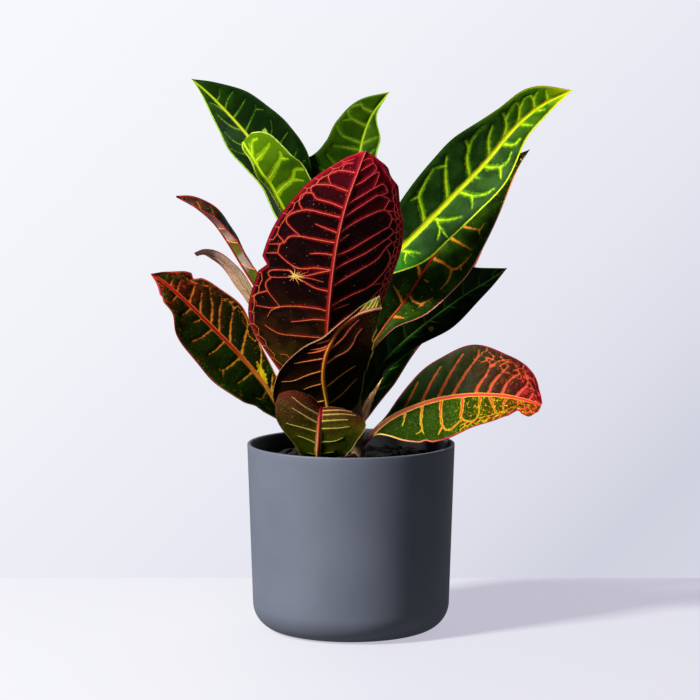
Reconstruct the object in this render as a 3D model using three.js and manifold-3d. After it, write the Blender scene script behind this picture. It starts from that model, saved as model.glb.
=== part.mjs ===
// A croton in a plain round pot: pot, soil, stem and fourteen leaves, each one solid.
// Millimetres, +Z up, origin at the centre of the pot's underside, front towards -Y.

import * as THREE from 'three';
import Module from 'manifold-3d';
import { mergeVertices } from 'three/addons/utils/BufferGeometryUtils.js';

// Clearance between solids that touch
const GAP = 0.3;

// Pot
const POT_HEIGHT = 126.5;
const RIM_RADIUS = 70;
const FOOT_RADIUS = 66.5;
const POT_CORNER = 18.5;
const POT_WALL = 2.4;
const LIP_ROUNDING = 0.8;
const CORNER_STEPS = 4;
const POT_SIDES = 48;

// Soil
const SOIL_LEVEL = 113.5;
const SOIL_RELIEF = 0.7;
const SOIL_FADE_POWER = 4;
// Waves of the soil's surface: height share, then radians a mm along x and y, and the start
const SOIL_WAVES = [
  [1, 0.21, 0.11, 1.3],
  [0.8, -0.14, 0.26, -0.4],
  [0.6, 0.39, 0.35, 0],
];
const SOIL_RINGS = 6;
const SOIL_SIDES = 32;
const STEM_HOLE_X = 5.5;
const STEM_HOLE_Y = 1;
const STEM_HOLE_RADIUS = 5.6;
const STEM_HOLE_SIDES = 16;

// Stem: centre x, y, z and radius, from the bottom of its hole in the soil to the bud
const STEM_LINE = [
  [6, 1, 88, 4.6],
  [5, 1, 114, 4.8],
  [4, 2, 140, 4.4],
  [1, 3, 170, 4.0],
  [-3, 4, 200, 3.7],
  [-6, 4, 228, 3.3],
  [-8, 4, 250, 2.8],
  [-9, 4, 264, 1.9],
  [-9, 4, 274, 0.5],
];
const STEM_SIDES = 12;
const STEM_SECTIONS = 24;

// Leaf blades and stalks
const BLADE_THICKNESS = 0.8;
const STALK_RADIUS = 1.3;
const STALK_ARCH = 0.9;
const RIB_DEPTH = 1.5;
const RIB_DEPTH_AT_TIP = 0.2;
const RIB_HALF_WIDTH = 1.5;
const RIB_SHARE_LIMIT = 0.3;
const LEAST_HALF_WIDTH = 0.5;
const CURL_POWER = 1.5;
const ARC_STEPS = 48;

// Grid of a blade: sections for each row, and columns as shares of a half-width
const SECTIONS_PER_ROW = 2;
const COLUMN_SHARES = [0.38, 0.7, 1];
const HEM_COLUMN_SHARES = [0.24, 0.48, 0.72, 1];
const HEM_BEND_LENGTH = 5;

// Each leaf: the height on the stem where its stalk starts, the side of the blade that faces the
// front, and its cross-sections from the stalk to the tip. A stalk row is the centre x, y, z.
// A blade row is the midrib x, y, z, the half-widths to the left and right of it, and the turn of
// the blade about its midrib in degrees.
// fold: angle of the left and right half to the flat, in degrees. curl: how much further each half
// turns by its margin. Either may be one value or one for each blade row.
// wave: height in mm, waves along the leaf, start of the first wave.
// nicks: side, blade row, depth in mm and half-length in rows of a cut in the margin.
// hem: for each blade row, the strip of the left margin that is rolled over, in mm, and its angle.
// side: direction across the blade, where the leaf bends over backwards.
const LEAVES = {
  leaf_red_front: {
    colour: 0x4a0d18, face: 'under', joint: 134,
    stalk: [[-3, -4, 140], [-10, -8, 149]],
    blade: [
      [-14.5, -14, 158, 11, 9, -4],
      [-16.5, -24, 179, 34, 25, -4],
      [-15.5, -37, 209, 53, 34, -6],
      [-13, -47, 239, 49, 42, -8],
      [-9, -53, 267, 43, 46.5, -10],
      [-3, -57, 292, 31, 41.5, -10],
      [5, -55, 314, 14, 34, -8],
      [9.5, -51, 323, 4.5, 20, -6],
      [10.5, -50, 325, 0, 5, -5],
    ],
    fold: [8, 8], curl: [14, 14], wave: [1, 3, 0],
    nicks: [['left', 3.4, 5, 0.25]],
  },
  leaf_upper_left: {
    colour: 0x1f4a1c, face: 'upper', joint: 240,
    stalk: [[-20, 5, 247], [-28, 7, 257]],
    blade: [
      [-34, 11, 266, 7, 8, 20],
      [-40, 19, 283, 13, 23, 20],
      [-49, 28, 303, 13, 35, 20],
      [-60, 35, 319, 15, 35, 20],
      [-72, 41, 334, 16, 30, 20],
      [-84, 46, 347, 12, 24, 20],
      [-97, 50, 360, 6, 12, 20],
      [-109, 53, 370, 0, 0, 20],
    ],
    fold: [14, 14], curl: [12, 12], wave: [1.5, 2, 0],
  },
  leaf_young_lime: {
    colour: 0x7db52a, face: 'upper', joint: 246,
    stalk: [[-17, 1, 252], [-24, 0, 257]],
    blade: [
      [-29, 0, 264, 5, 6, 15],
      [-36, -2, 274, 6.5, 22, 20],
      [-44, -5, 284, 6.5, 33, 25],
      [-53, -8, 301, 5, 36, 30],
      [-59, -10, 309, 4, 33.5, 30],
      [-65, -9, 319, 3, 25, 25],
      [-70, -4, 326, 3, 13, 15],
      [-72, 2, 329, 1, 4, 5],
    ],
    fold: [30, 10], curl: [30, 10], wave: [0.6, 2, 0],
  },
  leaf_top: {
    colour: 0x3c8a24, face: 'upper', joint: 252,
    stalk: [[-12, 7, 256]],
    blade: [
      [-12, 7, 263, 9, 6, -15],
      [-7, 9, 276, 30, 11, -15],
      [-1, 12, 293, 41, 14, -15],
      [3.5, 17, 308, 35, 14, -15],
      [6, 21, 321.5, 25, 12, -15],
      [9, 26, 334, 21, 12, -15],
      [15, 31, 347.5, 14, 3, -15],
      [26, 36, 361.5, 0, 0, -15],
    ],
    fold: [14, 14], curl: [14, 14], wave: [1.5, 2, 0],
  },
  leaf_upper_right: {
    colour: 0x2a6020, face: 'upper', joint: 226,
    stalk: [[1, 1, 234]],
    blade: [
      [10, 0, 240, 9, 4, 10],
      [23, 0, 249, 15, 11, 10],
      [37.5, 0, 262, 19, 19, 8],
      [53.5, 0, 278, 25, 20, 6],
      [71, 1, 296, 28, 21, 5],
      [89, 3, 314.5, 28, 20.5, 5],
      [109, 6, 338, 18, 12, 5],
      [127, 9, 353, 15, 8, 5],
      [148.5, 12, 363.5, 0, 0, 5],
    ],
    fold: [16, 12], curl: [12, 14], wave: [1, 3, 0],
  },
  leaf_dark_right: {
    colour: 0x1c2a16, face: 'upper', joint: 172,
    stalk: [[6, 6, 181]],
    blade: [
      [14, 9, 192, 4, 3, 0],
      [25, 12, 207.5, 8, 7, 0],
      [39, 15, 225, 15, 19, 0],
      [55, 19, 250, 19, 26.5, 0],
      [72.5, 23, 272, 18.5, 23, 0],
      [94, 27, 297, 10, 14, 0],
      [111, 30, 313.5, 5, 4, 0],
      [121, 32, 322.5, 0, 0, 0],
    ],
    fold: [16, 10], curl: [12, 12], wave: [1, 3, 0],
  },
  leaf_right: {
    colour: 0x24451f, face: 'upper', joint: 146,
    stalk: [[7.5, 8, 153]],
    blade: [
      [13, 13, 164, 5, 4, 5],
      [23, 19, 180, 11, 7, 5],
      [39, 25, 195, 18, 9, 5],
      [59.5, 32, 210.5, 23.5, 14, 5],
      [79, 39, 223.5, 20, 10, 5],
      [94, 44, 232, 11, 5, 5],
      [107, 48, 240.5, 0, 0, 5],
    ],
    fold: [14, 14], curl: [12, 14], wave: [1, 3, 0],
  },
  leaf_lower_back_right: {
    colour: 0x28401e, face: 'upper', joint: 131,
    stalk: [[7, 8, 138]],
    blade: [
      [10, 12, 147, 3, 5, 0],
      [18, 24, 166, 9.5, 12, 0],
      [29.5, 36, 186.5, 14, 14, 0],
      [44.5, 46, 207, 17, 15, 0],
      [61.5, 54, 227, 16, 12.5, 0],
      [79, 60, 246, 11, 9, 0],
      [94.5, 64, 261.5, 0, 0, 0],
    ],
    fold: [14, 14], curl: [12, 14], wave: [1, 3, 0],
  },
  leaf_left_folded: {
    colour: 0x4a4a24, face: 'upper', joint: 180,
    stalk: [[-12, 5, 182], [-24, 5, 186]],
    blade: [
      [-34, 6, 192, 7, 6, -82],
      [-45, 8, 205, 12, 9, -82],
      [-57, 11, 221, 15, 12, -82],
      [-66, 13, 234, 16, 13.5, -82],
      [-75, 15, 248, 16, 14, -82],
      [-84, 16, 262.5, 15, 15, -82],
      [-93, 17, 274.5, 12, 14, -82],
      [-105, 18, 284.5, 5, 10, -82],
      [-118, 18, 291.5, 0, 0, -82],
    ],
    fold: [20, [16, 16, 16, 16, 16, 16, 22, 30, 30]], curl: [12, 10], wave: [0.6, 3, 0],
  },
  leaf_left_pale: {
    colour: 0x8a6a60, face: 'under', joint: 158,
    stalk: [[-16, 8, 160], [-28, 10, 167]],
    blade: [
      [-37, 12, 180, 6, 6, 68],
      [-51.5, 18, 200, 11, 11, 68],
      [-63, 23, 216, 13, 13, 68],
      [-72, 26, 229, 13, 13, 68],
      [-80.5, 29, 240, 12, 13, 68],
      [-90, 31, 248, 10, 11, 68],
      [-99, 33, 252, 5, 8, 68],
      [-106, 34, 250.5, 0, 0, 68],
    ],
    fold: [0, 0], curl: [-4, 6], wave: [0.6, 2, 0],
  },
  leaf_lower_left: {
    colour: 0x2c4420, face: 'upper', joint: 124,
    stalk: [[-8, -4, 126], [-22, -7, 130]],
    blade: [
      [-37, -10, 140.5, 3.5, 3, -20],
      [-47.5, -14, 151, 8, 6, -22],
      [-59.5, -18, 170, 22, 11, -25],
      [-74, -21, 188, 29, 17, -25],
      [-88.5, -24, 203.5, 27.5, 24, -25],
      [-103, -27, 218.5, 24, 21.5, -25],
      [-111, -28.5, 226.5, 14.5, 18, -24],
      [-118.5, -30, 233.5, 11.5, 12.5, -22],
      [-125, -31, 239, 5, 6, -21],
      [-132, -32, 243.5, 0, 0, -20],
    ],
    fold: [10, 10], curl: [10, 12], wave: [1.5, 3, 0],
  },
  leaf_front_curled: {
    colour: 0x3a1c16, face: 'under', joint: 126,
    stalk: [[-2, -7, 131], [-8, -11, 137]],
    blade: [
      [-13.5, -16, 144, 23, 17.5, 0],
      [-16.5, -24, 160, 35, 26, 0],
      [-18.5, -34, 175, 31, 30, 0],
      [-17, -44, 189, 22, 30, 0],
      [-13, -51, 200, 14, 29, 0],
      [-6.5, -56, 211, 10, 27.5, 0],
      [4, -59, 219, 10.5, 22.5, 0],
      [14, -59, 223, 15, 14, 0],
      [20.5, -57, 223, 7, 1, 0],
    ],
    hem: [[2, -20], [2, -40], [4, -120], [6, -160], [7, -170], [7, -170], [7, -170], [8, -170], [4, -170]],
    fold: [5, 5], curl: [5, 20], wave: [0.5, 2, 0],
  },
  leaf_front_low: {
    colour: 0x4c5a24, face: 'under', joint: 119, side: [1, 0, 0],
    stalk: [[-3, -12, 118.5], [-14, -24, 118]],
    blade: [
      [-21, -34, 119.5, 7, 13, 0],
      [-22, -41, 125, 12, 20, 0],
      [-21.5, -45, 134, 18.5, 25, 0],
      [-21, -47, 143, 25, 30, 0],
      [-20.5, -46, 151.5, 28, 31, 0],
      [-20, -41, 158, 26, 28, 0],
      [-19.5, -35, 156, 20, 20, 0],
      [-19, -32, 147, 11, 11, 0],
      [-18.5, -30, 136, 0, 0, 0],
    ],
    fold: [[0, 0, 0, -6, -16, -32, -34, -26, -10], [0, 0, 0, 0, 0, 2, 4, 4, 0]],
    curl: [[0, 0, 0, 10, 20, 45, 45, 30, 0], 6], wave: [0, 2, 0],
  },
  leaf_lower_right: {
    colour: 0x3f5a22, face: 'upper', joint: 122,
    stalk: [[11, -1, 128.5]],
    blade: [
      [16.5, -2, 135, 2, 4, 25],
      [28, -6, 144.5, 5, 18.5, 25],
      [44.5, -12, 153, 15.5, 29, 25],
      [62.5, -18, 159, 26.5, 32, 25],
      [82.5, -24, 162, 34, 26.5, 25],
      [100.5, -29, 162, 27.5, 20, 25],
      [114, -33, 160, 20.5, 9.5, 25],
      [121.5, -35, 158, 10, 9, 25],
      [126, -36, 156.5, 2, 4, 25],
    ],
    fold: [12, 12], curl: [8, 12], wave: [1.2, 3, 0],
  },
};

const FRONT = new THREE.Vector3(0, -1, 0);
const SLOPE_STEP = 1e-3;
const MERGE_DISTANCE = 1e-4;
const lerp = THREE.MathUtils.lerp;
const clamp = THREE.MathUtils.clamp;
const radians = THREE.MathUtils.degToRad;

// Row at t, from 0 at the first row to 1 at the last, of the smooth curve through the rows
function smooth(rows, t) {
  const last = rows.length - 1;
  const place = clamp(t, 0, 1) * last;
  const index = Math.min(Math.floor(place), last - 1);
  const f = place - index;
  return rows[0].map((_, column) => {
    const p1 = rows[index][column];
    const p2 = rows[index + 1][column];
    const p0 = index > 0 ? rows[index - 1][column] : 2 * p1 - p2;
    const p3 = index + 2 <= last ? rows[index + 2][column] : 2 * p2 - p1;
    return 0.5 * (2 * p1 + (p2 - p0) * f + (2 * p0 - 5 * p1 + 4 * p2 - p3) * f * f
      + (3 * p1 - p0 - 3 * p2 + p3) * f * f * f);
  });
}

// Closed geometry from points and triangles of point numbers
function solidGeometry(points, triangles) {
  const geometry = new THREE.BufferGeometry();
  geometry.setAttribute('position', new THREE.Float32BufferAttribute(points.flat(), 3));
  geometry.setIndex(triangles.flat());
  return geometry;
}

function material(colour, roughness) {
  return new THREE.MeshStandardMaterial({ color: colour, roughness, metalness: 0 });
}

function namedMesh(name, geometry, colour, roughness) {
  const mesh = new THREE.Mesh(geometry, material(colour, roughness));
  mesh.name = name;
  return mesh;
}

// Points of a quarter circle round a centre, from one angle to another in degrees
function arcPoints(centreX, centreY, radius, from, to, steps) {
  const points = [];
  for (let i = 0; i <= steps; i += 1) {
    const angle = radians(lerp(from, to, i / steps));
    points.push(new THREE.Vector2(centreX + radius * Math.cos(angle), centreY + radius * Math.sin(angle)));
  }
  return points;
}

// A profile of radius and height turned round the vertical axis
function turned(profile, sides) {
  const geometry = new THREE.LatheGeometry(profile, sides);
  geometry.rotateX(Math.PI / 2);
  return geometry;
}

// Radius of the pot's outside at a height above its corner
function potRadius(height) {
  return lerp(FOOT_RADIUS, RIM_RADIUS, (height - POT_CORNER) / (POT_HEIGHT - POT_CORNER));
}

function makePot() {
  const innerCorner = POT_CORNER - POT_WALL;
  const flat = FOOT_RADIUS - POT_CORNER;
  const lipOuter = RIM_RADIUS - LIP_ROUNDING;
  const lipInner = RIM_RADIUS - POT_WALL + LIP_ROUNDING;
  const lipHeight = POT_HEIGHT - LIP_ROUNDING;
  const profile = [
    new THREE.Vector2(0, 0),
    ...arcPoints(flat, POT_CORNER, POT_CORNER, -90, 0, CORNER_STEPS),
    ...arcPoints(lipOuter, lipHeight, LIP_ROUNDING, 0, 90, 2),
    ...arcPoints(lipInner, lipHeight, LIP_ROUNDING, 90, 180, 2),
    ...arcPoints(flat, POT_CORNER, innerCorner, 0, -90, CORNER_STEPS),
    new THREE.Vector2(0, POT_WALL),
  ];
  return namedMesh('pot', turned(profile, POT_SIDES), 0x4d525d, 0.62);
}

// Low relief of the soil's surface, fading out at the wall
function soilRelief(x, y, wallRadius) {
  let height = 0;
  for (const [share, alongX, alongY, start] of SOIL_WAVES) {
    height += share * Math.sin(alongX * x + alongY * y + start);
  }
  return SOIL_RELIEF * height * (1 - (Math.hypot(x, y) / wallRadius) ** SOIL_FADE_POWER);
}

// Merged closed mesh as a solid for joining and cutting
function toSolid(wasm, geometry) {
  const bare = geometry.clone();
  bare.deleteAttribute('normal');
  bare.deleteAttribute('uv');
  const merged = mergeVertices(bare, MERGE_DISTANCE);
  const corners = Array.from(merged.index.array);
  const kept = [];
  for (let i = 0; i < corners.length; i += 3) {
    const [a, b, c] = corners.slice(i, i + 3);
    if (a !== b && b !== c && c !== a) kept.push(a, b, c);
  }
  return new wasm.Manifold(new wasm.Mesh({
    numProp: 3,
    vertProperties: new Float32Array(merged.attributes.position.array),
    triVerts: new Uint32Array(kept),
  }));
}

function fromSolid(solid) {
  const mesh = solid.getMesh();
  const geometry = new THREE.BufferGeometry();
  geometry.setAttribute('position', new THREE.BufferAttribute(new Float32Array(mesh.vertProperties), 3));
  geometry.setIndex(new THREE.BufferAttribute(new Uint32Array(mesh.triVerts), 1));
  return geometry;
}

// Soil fills the pot to its level, with a blind hole for the stem
function makeSoil(wasm) {
  const flat = FOOT_RADIUS - POT_CORNER;
  const cornerRadius = POT_CORNER - POT_WALL - GAP;
  const wallRadius = potRadius(SOIL_LEVEL) - POT_WALL - GAP;
  const profile = [
    new THREE.Vector2(0, POT_WALL + GAP),
    ...arcPoints(flat, POT_CORNER, cornerRadius, -90, 0, CORNER_STEPS),
  ];
  for (let ring = SOIL_RINGS; ring >= 0; ring -= 1) {
    profile.push(new THREE.Vector2(wallRadius * ring / SOIL_RINGS, SOIL_LEVEL));
  }
  const geometry = turned(profile, SOIL_SIDES);
  const place = geometry.attributes.position;
  for (let i = 0; i < place.count; i += 1) {
    if (place.getZ(i) > SOIL_LEVEL - GAP) {
      place.setZ(i, SOIL_LEVEL + soilRelief(place.getX(i), place.getY(i), wallRadius));
    }
  }
  const stemFoot = STEM_LINE[0][2];
  const holeDepth = POT_HEIGHT - stemFoot + GAP;
  const hole = new THREE.CylinderGeometry(STEM_HOLE_RADIUS, STEM_HOLE_RADIUS, holeDepth, STEM_HOLE_SIDES);
  hole.rotateX(Math.PI / 2);
  hole.translate(STEM_HOLE_X, STEM_HOLE_Y, stemFoot - GAP + holeDepth / 2);
  const soil = toSolid(wasm, geometry).subtract(toSolid(wasm, hole));
  return namedMesh('soil', fromSolid(soil), 0x1d1714, 0.95);
}

// The stem is a round loft along its centre line
function makeStem() {
  const points = [];
  const triangles = [];
  for (let i = 0; i <= STEM_SECTIONS; i += 1) {
    const [x, y, z, radius] = smooth(STEM_LINE, i / STEM_SECTIONS);
    for (let k = 0; k < STEM_SIDES; k += 1) {
      const angle = 2 * Math.PI * k / STEM_SIDES;
      points.push([x + radius * Math.cos(angle), y + radius * Math.sin(angle), z]);
    }
  }
  const corner = (section, side) => section * STEM_SIDES + side % STEM_SIDES;
  for (let i = 0; i < STEM_SECTIONS; i += 1) {
    for (let k = 0; k < STEM_SIDES; k += 1) {
      triangles.push([corner(i, k), corner(i, k + 1), corner(i + 1, k + 1)]);
      triangles.push([corner(i, k), corner(i + 1, k + 1), corner(i + 1, k)]);
    }
  }
  for (let k = 1; k < STEM_SIDES - 1; k += 1) {
    triangles.push([corner(0, 0), corner(0, k + 1), corner(0, k)]);
    triangles.push([corner(STEM_SECTIONS, 0), corner(STEM_SECTIONS, k), corner(STEM_SECTIONS, k + 1)]);
  }
  return namedMesh('stem', solidGeometry(points, triangles), 0x5a4630, 0.8);
}

// Centre and radius of the stem at a height
function stemAt(height) {
  const above = STEM_LINE.findIndex((row) => row[2] >= height);
  const low = STEM_LINE[above - 1][2];
  const high = STEM_LINE[above][2];
  const place = above - 1 + (height - low) / (high - low);
  return smooth(STEM_LINE, place / (STEM_LINE.length - 1));
}

// Where a stalk starts: beside the stem, clear of it by the gap
function stalkStart(leaf) {
  const [x, y, z, radius] = stemAt(leaf.joint);
  const [nextX, nextY, nextZ] = leaf.stalk[0];
  const across = Math.hypot(nextX - x, nextY - y);
  const rise = Math.abs(nextZ - z) / Math.hypot(across, nextZ - z);
  const out = radius + GAP + rise * (STALK_RADIUS + STALK_ARCH);
  return [x + out * (nextX - x) / across, y + out * (nextY - y) / across, z];
}

const valueFor = (setting, row) => (Array.isArray(setting) ? setting[row] : setting);

// All rows of a leaf: x, y, z, left, right, turn, folds, curls, hem length, hem angle
function leafRows(leaf) {
  const firstTurn = leaf.blade[0][5];
  const stalk = [stalkStart(leaf), ...leaf.stalk].map((centre) => [
    ...centre, STALK_RADIUS, STALK_RADIUS, firstTurn, 0, 0, 0, 0, 0.5, 0,
  ]);
  const blade = leaf.blade.map((row, i) => [
    ...row,
    valueFor(leaf.fold[0], i), valueFor(leaf.fold[1], i),
    valueFor(leaf.curl[0], i), valueFor(leaf.curl[1], i),
    ...(leaf.hem ? leaf.hem[i] : [0, 0]),
  ]);
  return { rows: [...stalk, ...blade], stalkCount: stalk.length };
}

// Directions along, across and out of the blade at t
function leafFrame(leaf, rows, t, turn) {
  const before = smooth(rows, t - SLOPE_STEP);
  const after = smooth(rows, t + SLOPE_STEP);
  const along = new THREE.Vector3(after[0] - before[0], after[1] - before[1], after[2] - before[2]);
  along.normalize();
  const across = leaf.side
    ? new THREE.Vector3(...leaf.side).addScaledVector(along, -along.dot(new THREE.Vector3(...leaf.side)))
    : along.clone().cross(FRONT);
  across.normalize();
  const out = across.clone().cross(along);
  const angle = radians(turn);
  const turnedAcross = across.clone().multiplyScalar(Math.cos(angle)).addScaledVector(out, Math.sin(angle));
  const turnedOut = out.clone().multiplyScalar(Math.cos(angle)).addScaledVector(across, -Math.sin(angle));
  return { across: turnedAcross, out: turnedOut };
}

// Half-width at t on one side, less any nick in its margin
function halfWidth(leaf, row, bladeRow, isRight) {
  let width = Math.max(row[isRight ? 4 : 3], LEAST_HALF_WIDTH);
  for (const [side, at, depth, halfLength] of leaf.nicks ?? []) {
    if ((side === 'right') === isRight) {
      width -= depth * Math.max(0, 1 - Math.abs(bladeRow - at) / halfLength);
    }
  }
  return width;
}

// Offsets across and out, and the surface angle, at a share of a half-width
function halfSection(row, width, share, isRight) {
  const fold = radians(row[isRight ? 7 : 6]);
  const curl = radians(row[isRight ? 9 : 8]);
  const hemLength = isRight ? 0 : row[10];
  const hemAngle = isRight ? 0 : radians(row[11]);
  const angleAt = (u) => {
    const intoHem = clamp((u * width - width + hemLength) / HEM_BEND_LENGTH, 0, 1);
    return fold + curl * u ** CURL_POWER + hemAngle * intoHem;
  };
  const step = share / ARC_STEPS;
  let across = 0;
  let out = 0;
  for (let i = 0; i < ARC_STEPS; i += 1) {
    const middle = angleAt((i + 0.5) * step);
    across += Math.cos(middle) * step * width;
    out += Math.sin(middle) * step * width;
  }
  return { across, out, angle: angleAt(share) };
}

// Shares of a half-width where its columns stand, from the midrib outwards
function columnShares(leaf, row, width, isRight) {
  const rib = Math.min(RIB_HALF_WIDTH / width, RIB_SHARE_LIMIT);
  if (!leaf.hem || isRight) return [rib, ...COLUMN_SHARES];
  const flat = 1 - row[10] / width;
  return [
    rib * flat,
    ...COLUMN_SHARES.map((share) => share * flat),
    ...HEM_COLUMN_SHARES.map((share) => flat + share * (1 - flat)),
  ];
}

// Places along the leaf, in rows, where it gets a section
function sectionPlaces(leaf, rowCount, stalkCount) {
  const cuts = (leaf.nicks ?? []).map(([, at, , half]) => [at - half, at, at + half]);
  const places = [...Array(stalkCount).keys()];
  for (let place = stalkCount - 0.5; place < rowCount; place += 1 / SECTIONS_PER_ROW) {
    const bladePlace = place - stalkCount;
    if (!cuts.some(([from, , to]) => bladePlace > from && bladePlace < to)) places.push(place);
  }
  for (const cut of cuts) places.push(...cut.map((at) => at + stalkCount));
  return places.sort((a, b) => a - b);
}

// Front and back points of one section, from the left margin to the right one
function leafSection(leaf, rows, stalkCount, place) {
  const t = place / (rows.length - 1);
  const row = smooth(rows, t);
  const { across, out } = leafFrame(leaf, rows, t, row[5]);
  const bladeRow = place - stalkCount;
  const onBlade = clamp(bladeRow + 1, 0, 1);
  const facing = leaf.face === 'upper' ? 1 : -1;
  const ribDepth = lerp(RIB_DEPTH, RIB_DEPTH_AT_TIP, t);
  const stalkArch = STALK_ARCH * (1 - onBlade);
  const [waveHeight, waveCount, waveStart] = leaf.wave;
  const front = [];
  const back = [];
  const addPoint = (isRight, width, share) => {
    const sign = isRight ? 1 : -1;
    const half = halfSection(row, width, share, isRight);
    const phase = 2 * Math.PI * (waveCount * t + waveStart + (isRight ? 0.25 : 0));
    const wave = waveHeight * share * share * Math.sin(phase) * onBlade;
    const centre = new THREE.Vector3(row[0], row[1], row[2])
      .addScaledVector(across, sign * half.across)
      .addScaledVector(out, facing * half.out + wave);
    const normal = out.clone().multiplyScalar(Math.cos(half.angle))
      .addScaledVector(across, -sign * facing * Math.sin(half.angle));
    const fromRib = share * width / RIB_HALF_WIDTH;
    const ridge = Math.max(0, 1 - fromRib * fromRib);
    const under = BLADE_THICKNESS / 2 + ribDepth * ridge;
    const upper = BLADE_THICKNESS / 2 + stalkArch * ridge;
    front.push(centre.clone().addScaledVector(normal, facing > 0 ? upper : under).toArray());
    back.push(centre.clone().addScaledVector(normal, facing > 0 ? -under : -upper).toArray());
  };
  const leftWidth = halfWidth(leaf, row, bladeRow, false);
  const rightWidth = halfWidth(leaf, row, bladeRow, true);
  for (const share of columnShares(leaf, row, leftWidth, false).reverse()) addPoint(false, leftWidth, share);
  addPoint(true, rightWidth, 0);
  for (const share of columnShares(leaf, row, rightWidth, true)) addPoint(true, rightWidth, share);
  return { front, back };
}

// A leaf, stalk and blade in one: a front and a back sheet split alike, joined round the edge
function makeLeaf(name, leaf) {
  const { rows, stalkCount } = leafRows(leaf);
  const sections = sectionPlaces(leaf, rows.length, stalkCount)
    .map((place) => leafSection(leaf, rows, stalkCount, place));
  const columns = sections[0].front.length;
  const points = sections.flatMap((section) => [...section.front, ...section.back]);
  const front = (i, j) => i * 2 * columns + j;
  const back = (i, j) => front(i, j) + columns;
  const triangles = [];
  const addQuad = (a, b, c, d) => triangles.push([a, b, c], [a, c, d]);
  const last = columns - 1;
  for (let i = 0; i < sections.length - 1; i += 1) {
    for (let j = 0; j < last; j += 1) {
      addQuad(front(i, j), front(i, j + 1), front(i + 1, j + 1), front(i + 1, j));
      triangles.push([back(i, j), back(i + 1, j + 1), back(i, j + 1)]);
      triangles.push([back(i, j), back(i + 1, j), back(i + 1, j + 1)]);
    }
    addQuad(front(i, last), back(i, last), back(i + 1, last), front(i + 1, last));
    addQuad(back(i, 0), front(i, 0), front(i + 1, 0), back(i + 1, 0));
  }
  const end = sections.length - 1;
  for (let j = 0; j < last; j += 1) {
    addQuad(front(0, j), back(0, j), back(0, j + 1), front(0, j + 1));
    addQuad(back(end, j), front(end, j), front(end, j + 1), back(end, j + 1));
  }
  return namedMesh(name, solidGeometry(points, triangles), leaf.colour, 0.45);
}

const wasm = await Module();
wasm.setup();

const plant = new THREE.Group();
plant.add(makePot(), makeSoil(wasm), makeStem());
for (const [name, leaf] of Object.entries(LEAVES)) plant.add(makeLeaf(name, leaf));

export default plant;
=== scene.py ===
# Looks of a potted croton: leaves with raised veins, stem, soil and pot, built round the frame.
# Lengths are in millimetres until a mesh is made. Meshes, bump distances, table and lights are
# in metres.

import math

import bmesh
import bpy
import numpy as np
from mathutils import Euler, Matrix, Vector, kdtree


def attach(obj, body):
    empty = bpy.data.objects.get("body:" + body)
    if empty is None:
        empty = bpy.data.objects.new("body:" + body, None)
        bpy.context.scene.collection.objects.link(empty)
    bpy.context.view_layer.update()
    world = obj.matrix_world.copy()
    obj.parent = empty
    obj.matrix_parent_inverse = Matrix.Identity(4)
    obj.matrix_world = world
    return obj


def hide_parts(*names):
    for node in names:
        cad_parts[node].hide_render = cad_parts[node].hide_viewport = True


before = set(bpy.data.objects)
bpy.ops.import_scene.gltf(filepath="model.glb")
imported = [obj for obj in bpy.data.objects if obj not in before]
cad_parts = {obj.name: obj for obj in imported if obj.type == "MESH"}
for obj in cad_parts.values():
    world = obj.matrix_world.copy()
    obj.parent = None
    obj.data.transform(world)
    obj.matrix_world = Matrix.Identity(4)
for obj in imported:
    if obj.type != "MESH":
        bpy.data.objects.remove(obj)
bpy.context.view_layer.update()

MM = 0.001
FULL_TURN = 2 * math.pi
rng = np.random.default_rng(7)

# Camera: where the photograph was taken from
CAMERA_PLACE = (-0.67, -2000, 418)
CAMERA_TILT = 6.52
CAMERA_LENS = 153.9
SENSOR = 36

# Table, in metres, and how bright it looks to the camera
TABLE_REACH = 3.0
TABLE_DEPTH = 2.0
TABLE_EDGE = 0.175
TABLE_COLOUR = (98, 101, 100)
TABLE_GLOW_LEFT = (199, 197, 206)
TABLE_GLOW_RIGHT = (187, 184, 200)
TABLE_GLOW_SPAN = (-0.13, 0.07)
TABLE_GLOW_ON_OBJECT = 0.35
# Studio light: where its rise starts and ends along an axis, and its strength at that end
STUDIO_COLOUR = (0.88, 0.92, 1.0, 1)
STUDIO_BACK = (0.0, 0.8, 0.23)
STUDIO_TOP = (0.3, 1.0, 0.145)
STUDIO_FRONT = 0.02
# Backdrop colour along height less x is painted light and shade: lighter to the upper left, darker to the
# lower right, darkest in a painted shadow near its lower right end.
BACKDROP_SPAN = (-0.30, 0.10)
BACKDROP = [
    (0, 212, 213, 226), (0.09, 207, 209, 222), (0.2, 219, 220, 232), (0.35, 229, 230, 240),
    (0.7, 241, 242, 248), (1, 247, 248, 252),
]

# Lights: name, place, target, size, power and colour, in metres and watts
LIGHTS = [
    ("key", (-2.26, -1.58, 2.0), (0, 0, 0.15), 0.5, 405, (1.0, 0.985, 0.96)),
    ("front_fill", (0.6, -2.4, 0.9), (0, 0, 0.2), 1.6, 3, (0.9, 0.94, 1.0)),
    ("back_fill", (1.6, 2.2, 1.3), (0, 0, 0.2), 1.6, 14, (0.95, 0.97, 1.0)),
]
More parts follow.
